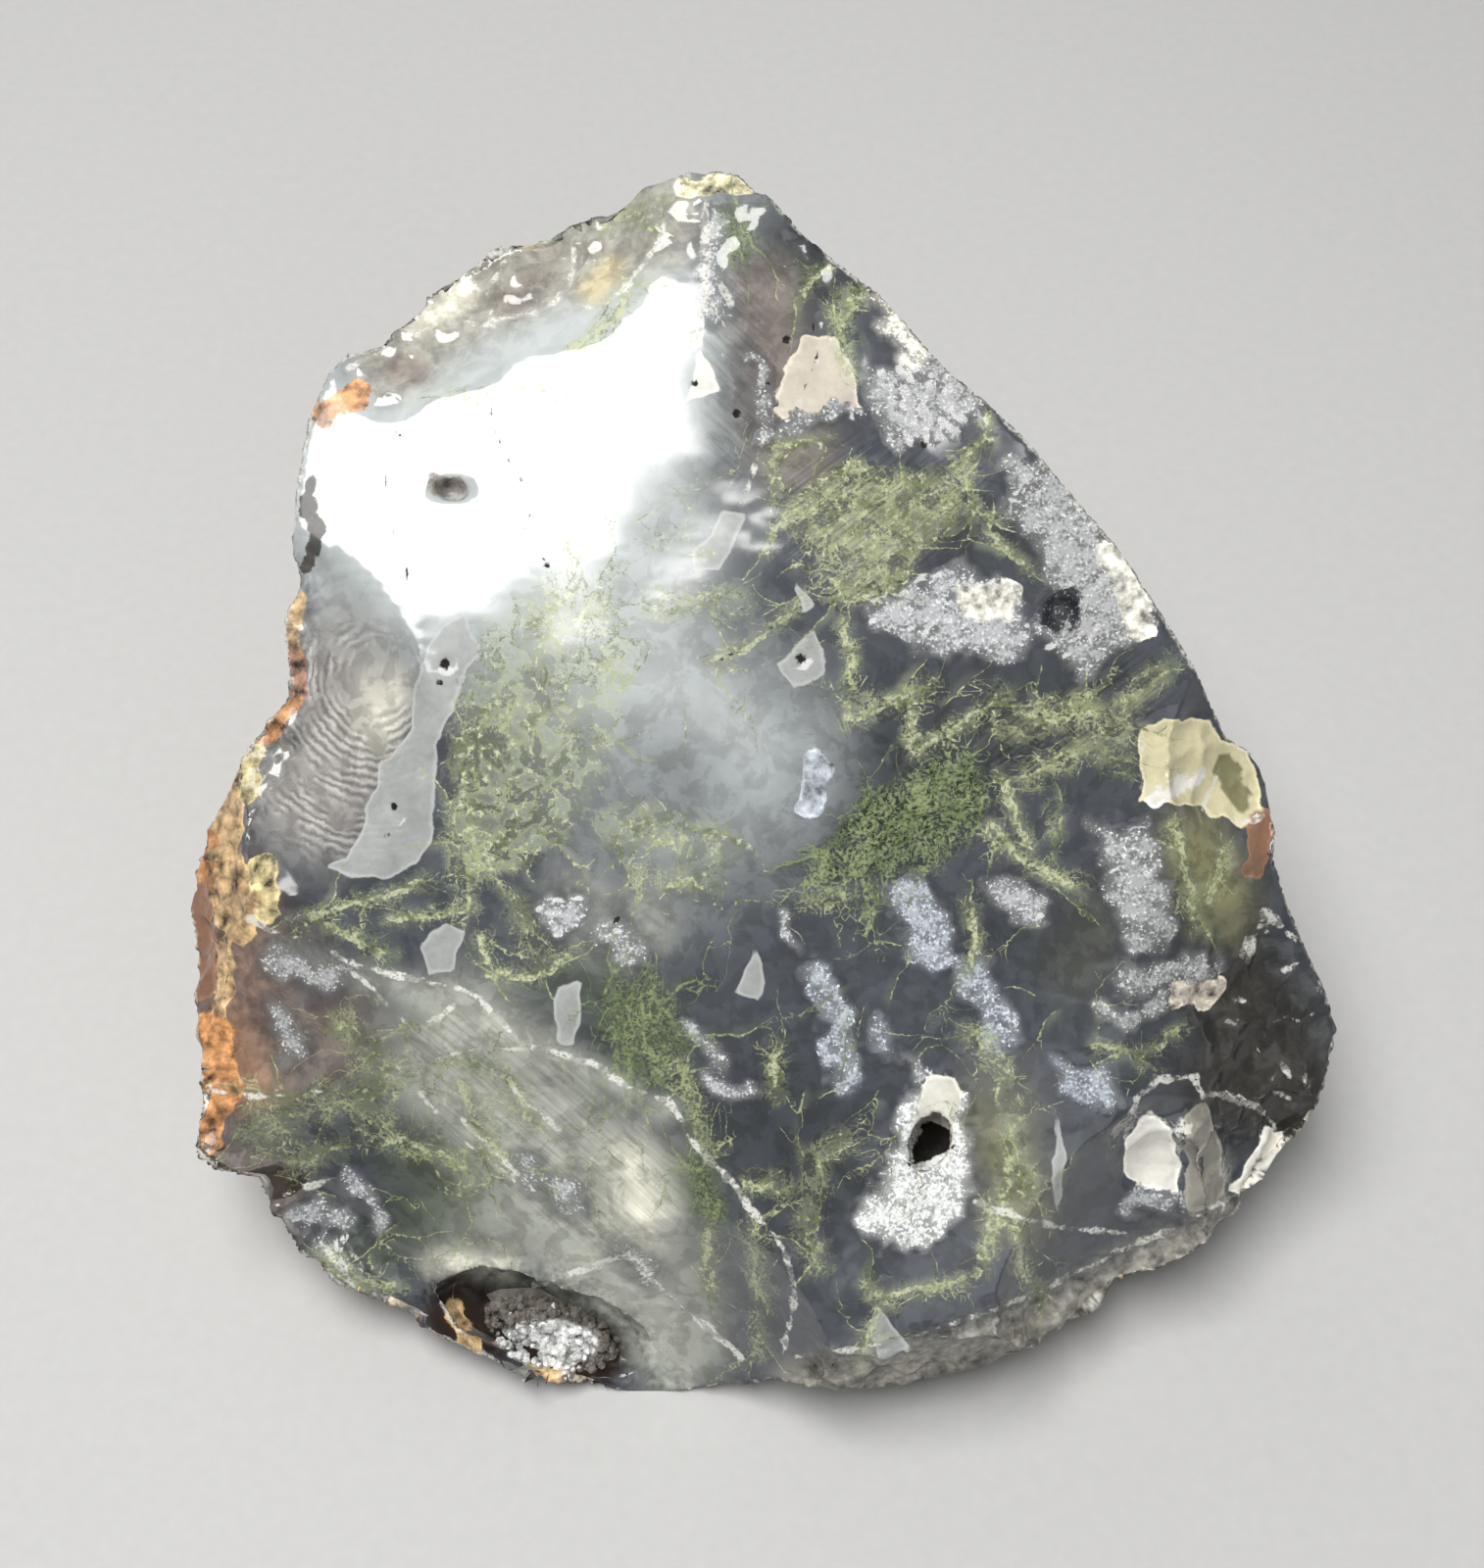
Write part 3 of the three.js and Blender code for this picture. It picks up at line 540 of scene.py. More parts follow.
def moss_heading(draw, spot):
    """The heading of the nearest part of the face, or any heading far from all."""
    gap, heading = min((math.dist(middle, spot) / reach, heading) for middle, reach, heading in MOSS_HEADINGS)
    if gap > 1.3:
        return draw.uniform(0, 2 * math.pi)
    return math.radians(heading + draw.choice((0, 180))) + draw.gauss(0, 0.45)


def main_strand(draw, line):
    """A marking's own line as steps that wander a little to both sides."""
    steps, swing = [], 0.0
    for (x0, y0), (x1, y1) in zip(line[:-1], line[1:]):
        length = math.dist((x0, y0), (x1, y1))
        along = np.array((x1 - x0, y1 - y0)) / length
        across = np.array((-along[1], along[0]))
        for k in range(int(length / THREAD_STEP)):
            swing = 0.85 * swing + draw.gauss(0, 0.13)
            steps.append(np.array((x0, y0)) + along * k * THREAD_STEP + across * swing)
    return steps


def grow_threads():
    """Branching threads of moss: points on the face, their directions and widths."""
    draw = random.Random(THREAD_SEED)
    starts, spots, ways, widths = [], [], [], []
    for shade, radius, line in MOSS:
        if radius:
            if radius <= 1.0:
                strand = main_strand(draw, line)
                for spot, after in zip(strand[:-1], strand[1:]):
                    spots.append(spot)
                    ways.append((after - spot) / np.linalg.norm(after - spot))
                    widths.append(0.10 + 0.16 * radius)
            for (x0, y0), (x1, y1) in zip(line[:-1], line[1:]):
                length = math.dist((x0, y0), (x1, y1))
                for k in range(max(2, int(length * (0.4 + 0.5 * radius)))):
                    share = draw.random()
                    along = math.atan2(y1 - y0, x1 - x0) + draw.choice((0, math.pi)) + draw.gauss(0, 0.35)
                    spot = np.array((x0 + share * (x1 - x0), y0 + share * (y1 - y0)))
                    spot += [draw.gauss(0, radius * 0.45), draw.gauss(0, radius * 0.45)]
                    starts.append((spot, along, int(draw.uniform(5, 10 + 6 * radius)), draw.uniform(0.05, 0.15)))
        else:
            size = np.ptp(np.asarray(line, float), axis=0)
            count = int(0.15 * size[0] * size[1] * (1.4 - shade))
            starts += [(spot, moss_heading(draw, spot), int(draw.uniform(8, 28)), draw.uniform(0.05, 0.16))
                       for spot in inside_spots(draw, line, count)]
    for density, outline in STRAY:
        size = np.ptp(np.asarray(outline, float), axis=0)
        starts += [(spot, moss_heading(draw, spot), int(draw.uniform(6, 22)), draw.uniform(0.03, 0.08))
                   for spot in inside_spots(draw, outline, int(density * size[0] * size[1]))]
    while starts:
        spot, heading, steps, width = starts.pop()
        for step in range(steps):
            way = np.array((math.cos(heading), math.sin(heading)))
            spots.append(spot)
            ways.append(way)
            widths.append(width * (1 - 0.7 * step / steps))
            spot = spot + THREAD_STEP * way
            heading += draw.gauss(0, 0.2)
            if steps - step > 4 and draw.random() < 0.12:
                turn = draw.choice((-1, 1)) * draw.uniform(0.4, 1.0)
                starts.append((spot, heading + turn, (steps - step) // 2, 0.75 * width))
    return np.array(spots), np.array(ways), np.array(widths)


def thread_offsets(seen):
    """How far each point lies to the side of its nearest thread, how far from it, and that thread's width."""
    spots, ways, widths = grow_threads()
    tree = KDTree(len(spots))
    for index, (x, y) in enumerate(spots):
        tree.insert((x, y, 0), index)
    tree.balance()
    nearest = np.array([tree.find((x, y, 0))[1] for x, y in seen])
    gap = seen - spots[nearest]
    side = ways[nearest, 0] * gap[:, 1] - ways[nearest, 1] * gap[:, 0]
    return side, np.linalg.norm(gap, axis=1), widths[nearest]


# ---------------------------------------------------------------- stone mesh
def triangle_normals(points, triangles):
    corners = points[triangles]
    normals = np.cross(corners[:, 1] - corners[:, 0], corners[:, 2] - corners[:, 0])
    lengths = np.linalg.norm(normals, axis=1)
    return normals / np.maximum(lengths, 1e-20)[:, None], lengths / 2


def triangle_pairs(triangles):
    """Triangles that share an edge, with the two points of that edge."""
    edges = np.sort(np.concatenate((triangles[:, [0, 1]], triangles[:, [1, 2]], triangles[:, [2, 0]])), axis=1)
    owners = np.tile(np.arange(len(triangles)), 3)
    order = np.lexsort((edges[:, 1], edges[:, 0]))
    edges, owners = edges[order], owners[order]
    same = (edges[1:] == edges[:-1]).all(1)
    return owners[:-1][same], owners[1:][same], edges[:-1][same]


def gathered(index, values, count):
    return np.stack([np.bincount(index, values[:, k], count) for k in range(values.shape[1])], axis=1)


def smooth_breaks(points, triangles, kept, passes, share):
    """Evens out each break of the stone and keeps the ridges between them sharp."""
    first, second, _ = triangle_pairs(triangles)
    normals, areas = triangle_normals(points, triangles)
    for _ in range(passes):
        unlike = ((normals[first] - normals[second]) ** 2).sum(1)
        weight = np.exp(-unlike / (2 * kept ** 2))[:, None]
        total = normals * areas[:, None]
        total += share * gathered(first, weight * normals[second] * areas[second, None], len(triangles))
        total += share * gathered(second, weight * normals[first] * areas[first, None], len(triangles))
        normals = total / np.linalg.norm(total, axis=1)[:, None]
    uses = np.bincount(triangles.ravel(), minlength=len(points))[:, None]
    settled = points
    for _ in range(POINT_PASSES):
        middles = settled[triangles].mean(1)
        shift = np.zeros_like(points)
        for corner in range(3):
            index = triangles[:, corner]
            height = ((middles - settled[index]) * normals).sum(1)[:, None]
            shift += gathered(index, share * height * normals, len(points))
        settled = settled + shift / uses
    move = settled - points
    far = np.linalg.norm(move, axis=1)[:, None]
    return points + move * np.minimum(1, SMOOTHING_REACH * MM / np.maximum(far, 1e-12))


def calm_share(points):
    """1 on the glassy part of the face and 0 outside it."""
    seen = as_seen(on_face(points))
    gap = np.minimum(*[marking_distance(seen, 0, outline) for outline in CALM])
    return within(gap, 2.5)


def point_normals(points, triangles):
    normals, areas = triangle_normals(points, triangles)
    total = np.zeros_like(points)
    for corner in range(3):
        total += gathered(triangles[:, corner], normals * areas[:, None], len(points))
    return total / np.linalg.norm(total, axis=1)[:, None]


def crest(points, triangles):
    """How sharply the stone bends outwards at each point, in radians."""
    first, second, edges = triangle_pairs(triangles)
    normals, _ = triangle_normals(points, triangles)
    middles = points[triangles].mean(1)
    bend = np.arccos(np.clip((normals[first] * normals[second]).sum(1), -1, 1))
    outward = ((middles[second] - middles[first]) * normals[first]).sum(1) < 0
    bend = np.where(outward, bend, -bend)
    counts = np.bincount(edges.ravel(), minlength=len(points))
    value = np.bincount(edges.ravel(), np.repeat(bend, 2), len(points)) / counts
    for _ in range(2):
        mean = value[triangles].mean(1)
        value = np.bincount(triangles.ravel(), np.repeat(mean, 3), len(points))
        value /= np.bincount(triangles.ravel(), minlength=len(points))
    return value


def applied(thing):
    """The mesh of a thing with its modifiers applied."""
    graph = bpy.context.evaluated_depsgraph_get()
    return bpy.data.meshes.new_from_object(thing.evaluated_get(graph))


def dense_stone(node):
    """The stone's solid as a fine even mesh, thinned out away from the broken face."""
    rough = bpy.data.objects.new("rough", node.data.copy())
    bpy.context.scene.collection.objects.link(rough)
    remesh = rough.modifiers.new("even", "REMESH")
    remesh.mode = "VOXEL"
    remesh.voxel_size = FINE_MM * MM
    rough.data = applied(rough)
    rough.modifiers.clear()

    points = np.empty(len(rough.data.vertices) * 3)
    rough.data.vertices.foreach_get("co", points)
    normals = np.empty_like(points)
    rough.data.vertex_normals.foreach_get("vector", normals)
    depth = on_face(points.reshape(-1, 3))[:, 2]
    away = (normals.reshape(-1, 3) @ FACE_AXES[2] < 0.2) | (depth < -26)
    group = rough.vertex_groups.new(name="away")
    group.add(np.flatnonzero(away).tolist(), 1.0, "REPLACE")
    thin = rough.modifiers.new("thin", "DECIMATE")
    thin.vertex_group = "away"
    thin.use_collapse_triangulate = True
    thin.ratio = TRIANGLES / (2 * len(rough.data.polygons))
    mesh = applied(rough)
    bpy.data.objects.remove(rough)
    points = np.empty(len(mesh.vertices) * 3)
    mesh.vertices.foreach_get("co", points)
    mesh.calc_loop_triangles()
    triangles = np.empty(len(mesh.loop_triangles) * 3, np.int32)
    mesh.loop_triangles.foreach_get("vertices", triangles)
    bpy.data.meshes.remove(mesh)
    return points.reshape(-1, 3), triangles.reshape(-1, 3)


def put_values(mesh, name, kind, values):
    layer = mesh.attributes.new(name, kind, "POINT")
    values = np.asarray(values, np.float32)
    if kind == "FLOAT":
        layer.data.foreach_set("value", values)
    elif kind == "FLOAT_VECTOR":
        layer.data.foreach_set("vector", values.ravel())
    else:
        full = np.ones((len(values), 4), np.float32)
        full[:, :3] = values
        layer.data.foreach_set("color", full.ravel())


def paint_stone(mesh, points, normals, triangles):
    """Lays the zones, patches, moss and lines out on the stone's points."""
    count = len(points)
    mm = points / MM
    face = on_face(points)
    seen = as_seen(face)
    facing = face_share(normals)
    wander = np.stack((noise_at(mm, 7, 1), noise_at(mm, 7, 2)), axis=1)
    jitter = np.stack((noise_at(mm, 2.8, 3, 2), noise_at(mm, 2.8, 4, 2)), axis=1)
    drift = seen + 0.8 * wander

    ground = np.tile(np.array(GROUND), (count, 1))
    fog = np.zeros(count)
    for colour, strength, soft, radius, line in ZONES:
        gap = marking_distance(drift, radius, line)
        share = strength * within(gap, soft) * facing
        ground += share[:, None] * (np.array(PALETTE[colour]) - ground)
        fog = np.maximum(fog, share) if colour == "haze" else fog * (1 - share)
    clouds = noise_at(mm, 16, 3, 3)
    hidden = (1 - facing)[:, None]
    for colour, level, sign in BACK_GROUND:
        share = soft_step(level - 0.25, level + 0.35, sign * clouds)
        ground += hidden * BACK_GROUND_SHARE * share[:, None] * (np.array(PALETTE[colour]) - ground)

    patch = np.full(count, FAR)
    patch_colour = np.tile(np.array(PALETTE["grey quartz"]), (count, 1))
    patch_grain = np.ones(count)
    for colour, grain, radius, line in PATCHES:
        gap = marking_distance(seen + 1.3 * grain * wander + (0.45 + 0.7 * grain) * jitter, radius, line)
        over = (gap < patch) | (gap < -0.2)
        patch_colour[over] = PALETTE[colour]
        patch_grain[over] = grain
        patch = np.minimum(patch, gap)
    # the weathered skin that is left on the back
    skin = 0.15 - 0.9 * noise_at(mm, 14, 5, 3)
    warm = soft_step(-0.4, 0.4, noise_at(mm, 17, 6, 2))[:, None]
    chalky = soft_step(-0.1, 0.5, noise_at(mm, 6, 7, 2))[:, None]
    skin_colour = np.array(PALETTE["chip"]) * (1 - warm) + np.array(PALETTE["tan"]) * warm
    skin_colour += 0.6 * chalky * (np.array(PALETTE["cream quartz"]) - skin_colour)
    patch_colour = mixed(facing[:, None], patch_colour, skin_colour)
    patch = mixed(facing, patch, skin)
    patch_grain = mixed(facing, patch_grain, SKIN_GRAIN)

    tone = np.full(count, 0.5)
    nearest = np.full(count, FAR)
    for shade, radius, line in MOSS:
        gap = marking_distance(drift, radius, line)
        closer = gap < nearest
        tone[closer] = shade
        nearest = np.minimum(nearest, gap)
    moss = mixed(facing, nearest, 1.6 - 7.0 * noise_at(mm, 13, 8, 2))
    tone = mixed(facing, tone, BACK_MOSS_TONE)

    front = facing > 0
    side, apart, width = np.full(count, FAR), np.full(count, FAR), np.zeros(count)
    side[front], apart[front], width[front] = thread_offsets(drift[front])
    apart = mixed(facing, apart, FAR)

    combed = np.zeros(count)
    for way, radius, line in COMBED:
        share = within(marking_distance(drift, radius, line), 2)
        combed = np.where(share > np.abs(combed), way * share, combed)
    combed *= facing
    ripples = facing * within(marking_distance(seen, 0, RIPPLED), 2)
    cloud = 0.5 + 0.5 * noise_at(mm, 3.2, 31, 3)
    blotch = 0.5 + 0.42 * noise_at(mm, 1.5, 32, 2)
    bend = np.stack([noise_at(mm, 6, 33 + k, 2) for k in range(3)], axis=1)

    crushed = np.full(count, FAR)
    for radius, line in CRUSHED_LINES_AND_GLINTS:
        crushed = np.minimum(crushed, marking_distance(drift * 0.3 + seen * 0.7, radius, line))
    crushed = mixed(facing, crushed, FAR)

    matte, hackle = np.zeros(count), np.zeros(count)
    for share, radius, line in MATTE:
        matte = np.maximum(matte, share * facing * within(marking_distance(seen, radius, line), EDGE_MM))
    for _, _, mottling, radius, line in CHIPPED:
        share = mottling * facing * within(marking_distance(drift, radius, line), EDGE_MM)
        hackle = np.maximum(hackle, share)

    cracks = np.full(count, FAR)
    for line in CRACKS:
        cracks = np.minimum(cracks, marking_distance(drift * 0.5 + seen * 0.5 + 0.25 * jitter, 0.01, line))
    cracks = mixed(facing, cracks, FAR)

    specks = np.full(count, FAR)
    for x, y, radius in SPECKS:
        specks = np.minimum(specks, np.hypot(seen[:, 0] - x, seen[:, 1] - y) - radius)
    for outline in OPENINGS:
        specks = np.minimum(specks, marking_distance(seen + 0.3 * jitter, 0, outline))
    specks = mixed(facing, specks, FAR)

    ridge = crest(points, triangles)
    vectors = {"place": face, "bent": face + 1.6 * bend}
    colours = {"ground": ground, "patch_colour": patch_colour}
    numbers = {
        "patch": patch, "patch_grain": patch_grain, "moss": moss, "moss_tone": tone,
        "thread_side": side, "thread_apart": apart, "thread_width": width,
        "combed": combed, "ripples": ripples, "cloud": cloud, "blotch": blotch, "crushed": crushed,
        "specks": specks, "cracks": cracks, "matte": matte, "hackle": hackle, "fog": fog,
        "ridge": ridge, "crest": ridge * (1 - facing * calm_share(points)), "facing": facing,
    }
    for kind, layers in (("FLOAT_VECTOR", vectors), ("FLOAT_COLOR", colours), ("FLOAT", numbers)):
        for name, values in layers.items():
            put_values(mesh, name, kind, values)


def scallops(points_mm, size, seed):
    """Shallow flake scars that meet in sharp ridges: height in millimetres over their floors."""
    draw = random.Random(seed)
    low, high = points_mm.min(0), points_mm.max(0)
    count = int(np.prod(high - low + size) / size ** 3)
    tree = KDTree(count)
    for index in range(count):
        tree.insert([draw.uniform(low[k], high[k]) for k in range(3)], index)
    tree.balance()
    depth = np.array([draw.uniform(-0.1, 0.1) * size for _ in range(count)])
    height = np.empty(len(points_mm))
    for k, point in enumerate(points_mm):
        height[k] = min(gap * gap / (3.0 * size) + depth[index] for _, index, gap in tree.find_n(point, 4))
    return height


def roughen(points, normals):
    """Adds the small relief of the breaks, the rind and the pits to the smooth stone."""
    mm = points / MM
    seen = as_seen(on_face(points))
    facing = face_share(normals)
    calm = facing * calm_share(points)
    height = 0.05 * (1 - calm) * noise_at(mm, 5, 11, 3)
    rind = facing * within(line_distance(seen, RIND) - RIND_MM, 2)
    coarse = noise_at(mm, 2.6, 12, 2)
    bent = mm + 0.7 * coarse[:, None]
    height += 0.25 * rind * coarse
    for index, (size, depth, _, radius, line) in enumerate(CHIPPED):
        share = facing * depth * within(marking_distance(seen, radius, line), EDGE_MM)
        near = share > 0
        height[near] += share[near] * (scallops(bent[near], size, 40 + index) - 0.2 * size)
    hidden = facing < 1
    chipped = scallops(bent[hidden], 5.0, 21) - 1.2 + 0.3 * noise_at(mm[hidden], 9, 13, 3) + 0.1 * coarse[hidden]
    height[hidden] += (1 - facing[hidden]) * chipped
    quartz = np.full(len(points), FAR)
    for colour, grain, radius, line in PATCHES:
        if grain >= 0.8:
            quartz = np.minimum(quartz, marking_distance(seen, radius, line))
    height += facing * within(quartz, 0.5) * 0.14 * noise_at(mm, 0.9, 14)
    for x, y, radius in SPECKS:
        reach = np.hypot(seen[:, 0] - x, seen[:, 1] - y) / radius
        height -= facing * max(0, radius - 0.4) * np.exp(-reach ** 2 * 1.3)
    resting = soft_step(0.2, 1.6, mm[:, 2])
    moved = points + normals * (height * resting * MM)[:, None]
    moved[:, 2] = np.maximum(moved[:, 2], 0)
    return moved


def make_stone():
    points, triangles = dense_stone(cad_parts["agate"])
    points = smooth_breaks(points, triangles, RIDGE_KEPT, NORMAL_PASSES, 1)
    calm = calm_share(points[triangles].mean(1))[:, None]
    points = smooth_breaks(points, triangles, CALM_RIDGE_KEPT, CALM_PASSES, calm)
    points = roughen(points, point_normals(points, triangles))
    mesh = bpy.data.meshes.new("tree_agate")
    mesh.from_pydata(points.tolist(), [], triangles.tolist())
    mesh.shade_smooth()
    paint_stone(mesh, points, point_normals(points, triangles), triangles)
    stone = bpy.data.objects.new("tree_agate", mesh)
    bpy.context.scene.collection.objects.link(stone)
    return stone


# ---------------------------------------------------------------- finishes
class Value:
    """An output in a finish. Arithmetic on it adds Math nodes."""

    def __init__(self, finish, socket):
        self.finish, self.socket = finish, socket

    def math(self, operation, first, second):
        return self.finish.node("ShaderNodeMath", {"operation": operation}, {0: first, 1: second})

    def __add__(self, other):
        return self.math("ADD", self, other)

    def __radd__(self, other):
        return self.math("ADD", other, self)

    def __sub__(self, other):
        return self.math("SUBTRACT", self, other)

    def __rsub__(self, other):
        return self.math("SUBTRACT", other, self)

    def __mul__(self, other):
        return self.math("MULTIPLY", self, other)

    def __rmul__(self, other):
        return self.math("MULTIPLY", other, self)

    def __or__(self, other):
        return self.math("MAXIMUM", self, other)

    def __abs__(self):
        return self.math("ABSOLUTE", self, 0)

    def rises(self, low, high):
        """0 below low, 1 above high, smooth between."""
        return self.finish.node("ShaderNodeMapRange", {"interpolation_type": "SMOOTHSTEP"},
                                {0: self, 1: low, 2: high, 3: 0.0, 4: 1.0})

    def falls(self, low, high):
        return 1 - self.rises(low, high)


class Finish:
    """A material built from nodes."""

    def __init__(self, name, constants):
        self.material = bpy.data.materials.new(name)
        self.material.use_nodes = True
        self.tree = self.material.node_tree
        self.shader = self.tree.nodes["Principled BSDF"]
        for socket, value in constants.items():
            self.shader.inputs[socket].default_value = value

    def node(self, kind, settings, sockets, out=0):
        made = self.tree.nodes.new(kind)
        for name, value in settings.items():
            setattr(made, name, value)
        for name, value in sockets.items():
            self.join(value, made.inputs[name])
        return Value(self, made.outputs[out])

    def join(self, value, socket):
        if isinstance(value, Value):
            self.tree.links.new(value.socket, socket)
        elif isinstance(value, tuple) and socket.type == "RGBA":
            socket.default_value = (*value, 1)
        else:
            socket.default_value = value

    def feed(self, name, value):
        self.join(value, self.shader.inputs[name])

    def number(self, name):
        return self.node("ShaderNodeAttribute", {"attribute_name": name}, {}, out=2)

    def colour(self, name):
        return self.node("ShaderNodeAttribute", {"attribute_name": name}, {}, out=0)

    def spot(self, name):
        return self.node("ShaderNodeAttribute", {"attribute_name": name}, {}, out=1)

    def noise(self, at, size, detail, roughness):
        """Noise from 0 to 1 with features of the given size."""
        return self.node("ShaderNodeTexNoise", {},
                         {"Vector": at, "Scale": 1 / size, "Detail": detail, "Roughness": roughness})

    def blend(self, share, first, second):
        return self.node("ShaderNodeMix", {"data_type": "RGBA"}, {0: share, 6: first, 7: second}, out=2)

    def scaled(self, colour, factor):
        return self.node("ShaderNodeVectorMath", {"operation": "SCALE"}, {0: colour, 3: factor})

    def stretched(self, at, turn, lengths):
        return self.node("ShaderNodeMapping", {"vector_type": "TEXTURE"},
                         {"Vector": at, "Rotation": (0, 0, math.radians(turn)), "Scale": lengths})


# Colours that the grain and the moss take on.
QUARTZ_OUTLINE = (0.038, 0.041, 0.050)
# white of the painted glints on the quartz grains
QUARTZ_PAINTED_GLINT = (0.84, 0.86, 0.87)
DARK_FILM, PALE_FILM = (0.014, 0.023, 0.009), (0.42, 0.465, 0.34)
COMBED_FILM = (0.44, 0.45, 0.25)
SOOT = (0.014, 0.017, 0.009)
DARK_THREAD, PALE_THREAD = (0.13, 0.155, 0.062), (0.36, 0.40, 0.20)
RIPE_THREAD, DENSE_THREAD = (0.60, 0.63, 0.40), (0.17, 0.235, 0.10)
# white of the crushed lines and worn ridges, and of the painted glints on the black chips
WORN_WHITE_AND_GLINT = (0.70, 0.70, 0.65)
# painted shade of the holes and the opening, also the dark of the cracks
HOLE_SHADE_AND_CRACK_DARK = (0.014, 0.012, 0.010)


def agate_finish():
    stone = Finish("tree_agate", {"IOR": 1.54, "Specular IOR Level": 0.12, "Coat Roughness": 0.09, "Coat IOR": 1.55})
    at = stone.spot("place")
    bent = stone.spot("bent")
    facing = stone.number("facing")
    cloud = stone.number("cloud")
    blotch = stone.number("blotch")
    fine = stone.noise(at, 0.8, 3, 0.6)
    grit = stone.noise(at, 0.32, 2, 0.6)
    wobble = stone.noise(at, 1.6, 4, 0.65) - 0.5

    # chalcedony with fine clouding, streaked in places
    combed = stone.number("combed")
    rising = stone.stretched(at, 38, (6.0, 0.32, 3.0))
    falling = stone.stretched(at, -42, (7.0, 0.35, 3.0))
    comb_at = stone.node("ShaderNodeMix", {"data_type": "VECTOR"},
                         {0: combed.rises(-0.01, 0.01), 4: falling, 5: rising}, out=1)
    streak = stone.noise(comb_at, 1.0, 2, 0.6) - 0.5
    sheets = stone.noise(bent, 2.6, 4, 0.62)
    hackle = stone.number("hackle")
    uneven = 0.40 * cloud + 0.30 * fine + 0.28 * sheets.rises(0.44, 0.54)
    shade = 0.99 + (uneven - 0.49) * (1 - 0.75 * stone.number("fog"))
    shade = shade * (1 + combed.rises(0, 1) * streak * 1.8 + combed.falls(-1, 0) * streak * 0.9)
    shade = shade * (1 + hackle * ((blotch - 0.5) * 1.5 + (fine - 0.5) * 1.6)) | 0.1
    colour = stone.scaled(stone.colour("ground"), shade)

    # fracture ripples: painted light and dark bands for the shading of their relief, with a faint bump
    rings = stone.node("ShaderNodeVectorMath", {"operation": "DISTANCE"}, {0: at, 1: RIPPLE_MIDDLE}, 1)
    wave = rings * (2 * math.pi / RIPPLE_MM) + wobble * 9.0 + cloud * 6.0
    wave = wave.math("SINE", wave, 0) * stone.number("ripples") * rings.rises(2.5, 6.0) * cloud.rises(0.3, 0.6)
    colour = stone.scaled(colour, 1 + 0.4 * wave)

    # quartz: a grey body that thins out in white grains, inside a dark outline, with painted glints on the brightest
    # grains
    patch = stone.number("patch")
    grain = stone.number("patch_grain")
    quartz_like = grain.rises(0.55, 0.8)
    rind_like = grain.rises(0.3, 0.34) * (1 - quartz_like)
    edge = patch + wobble * (0.5 + 1.6 * grain)
    halo = edge.falls(0.0, 2.2) * quartz_like
    colour = stone.blend(halo * 0.5, colour, QUARTZ_OUTLINE)
    own = stone.colour("patch_colour")
    body = edge.falls(-1.0, 0.7) * quartz_like
    colour = stone.blend(body * 0.9, colour, stone.scaled(own, 0.26 + 0.55 * blotch))
    density = 0.5 * grit + 0.3 * fine + 0.2 * blotch - 0.50 - 0.02 * (edge | -2.5) - 0.2 * edge.rises(-0.8, 1.0)
    grains = density.rises(-0.03, 0.06) * quartz_like
    colour = stone.blend(grains * 0.85, colour, stone.scaled(own, 0.75 + 0.6 * grit))
    # painted glints: white flecks on the grains
    painted_glint = grains * grit.rises(0.60, 0.68)
    colour = stone.blend(painted_glint * 0.75, colour, QUARTZ_PAINTED_GLINT)

    # plates with a lighter edge, mottled rind
    plain = edge.falls(-0.12, 0.08) * (1 - quartz_like)
    inner = 0.62 + 0.35 * fine + 0.3 * cloud + 0.3 * edge.rises(-0.5, -0.1)
    mottle = 1 + rind_like * ((blotch - 0.5) * 2.6 + (fine - 0.5) * 2.6)
    colour = stone.blend(plain * 0.85, colour, stone.scaled(own, inner * mottle | 0.06))
    in_patch = plain | grains

    # moss: thin films with bright torn edges, lace, threads, crumbs and dark specks
    moss = stone.number("moss")
    tone = stone.number("moss_tone")
    dense = tone.falls(0.15, 0.4)
    body = (moss + wobble * 3.5).falls(-1.6, 0.6)
    reach = (moss + wobble * 3.0).falls(-1.0, 1.2)
    rims = abs(sheets - 0.5).falls(0.005, 0.024)
    torn = sheets.rises(0.485, 0.51) * (1 - 0.65 * sheets.rises(0.52, 0.66))
    lace = abs(stone.noise(bent, 1.1, 3, 0.62) - 0.5).falls(0.010, 0.04)
    offset = stone.number("thread_side") + wobble * 0.45
    apart = stone.number("thread_apart")
    width = stone.number("thread_width")
    threads = (abs(offset) - width * (0.2 + 2.0 * fine)).falls(-0.03, 0.03) * apart.falls(0.35, 0.65)
    near = apart.falls(0.4, 1.2) * reach
    crumbs = near * grit.rises(0.57, 0.61)
    crumbly = 0.3 + 0.7 * grit.rises(0.40, 0.54)
    lit = (threads * crumbly) | (rims * reach * (0.4 + 0.5 * tone)) | (crumbs * 0.7)
    lit = lit | (lace * body * crumbly * (0.35 + 0.55 * dense))
    film = offset.rises(0.0, 0.12) * offset.falls(0.2, 1.3) * apart.falls(0.4, 1.5) * width.rises(0.03, 0.10)
    cover = body * (0.2 + 0.6 * torn + 0.2 * dense) | (film * 0.5)
    shade = stone.blend(tone, DARK_FILM, PALE_FILM)
    combed_film = stone.scaled(COMBED_FILM, 0.6 + 3.0 * streak + 0.6 * fine | 0.1)
    shade = stone.blend(combed.rises(0.2, 0.8) * 0.7, shade, combed_film)
    colour = stone.blend(cover * (0.95 - 0.3 * tone), colour, shade)
    soot = near * grit.falls(0.32, 0.37) * (1 - 0.7 * tone)
    colour = stone.blend(soot * 0.7, colour, SOOT)
    thread_colour = stone.blend(cloud.rises(0.3, 0.7), DARK_THREAD, PALE_THREAD)
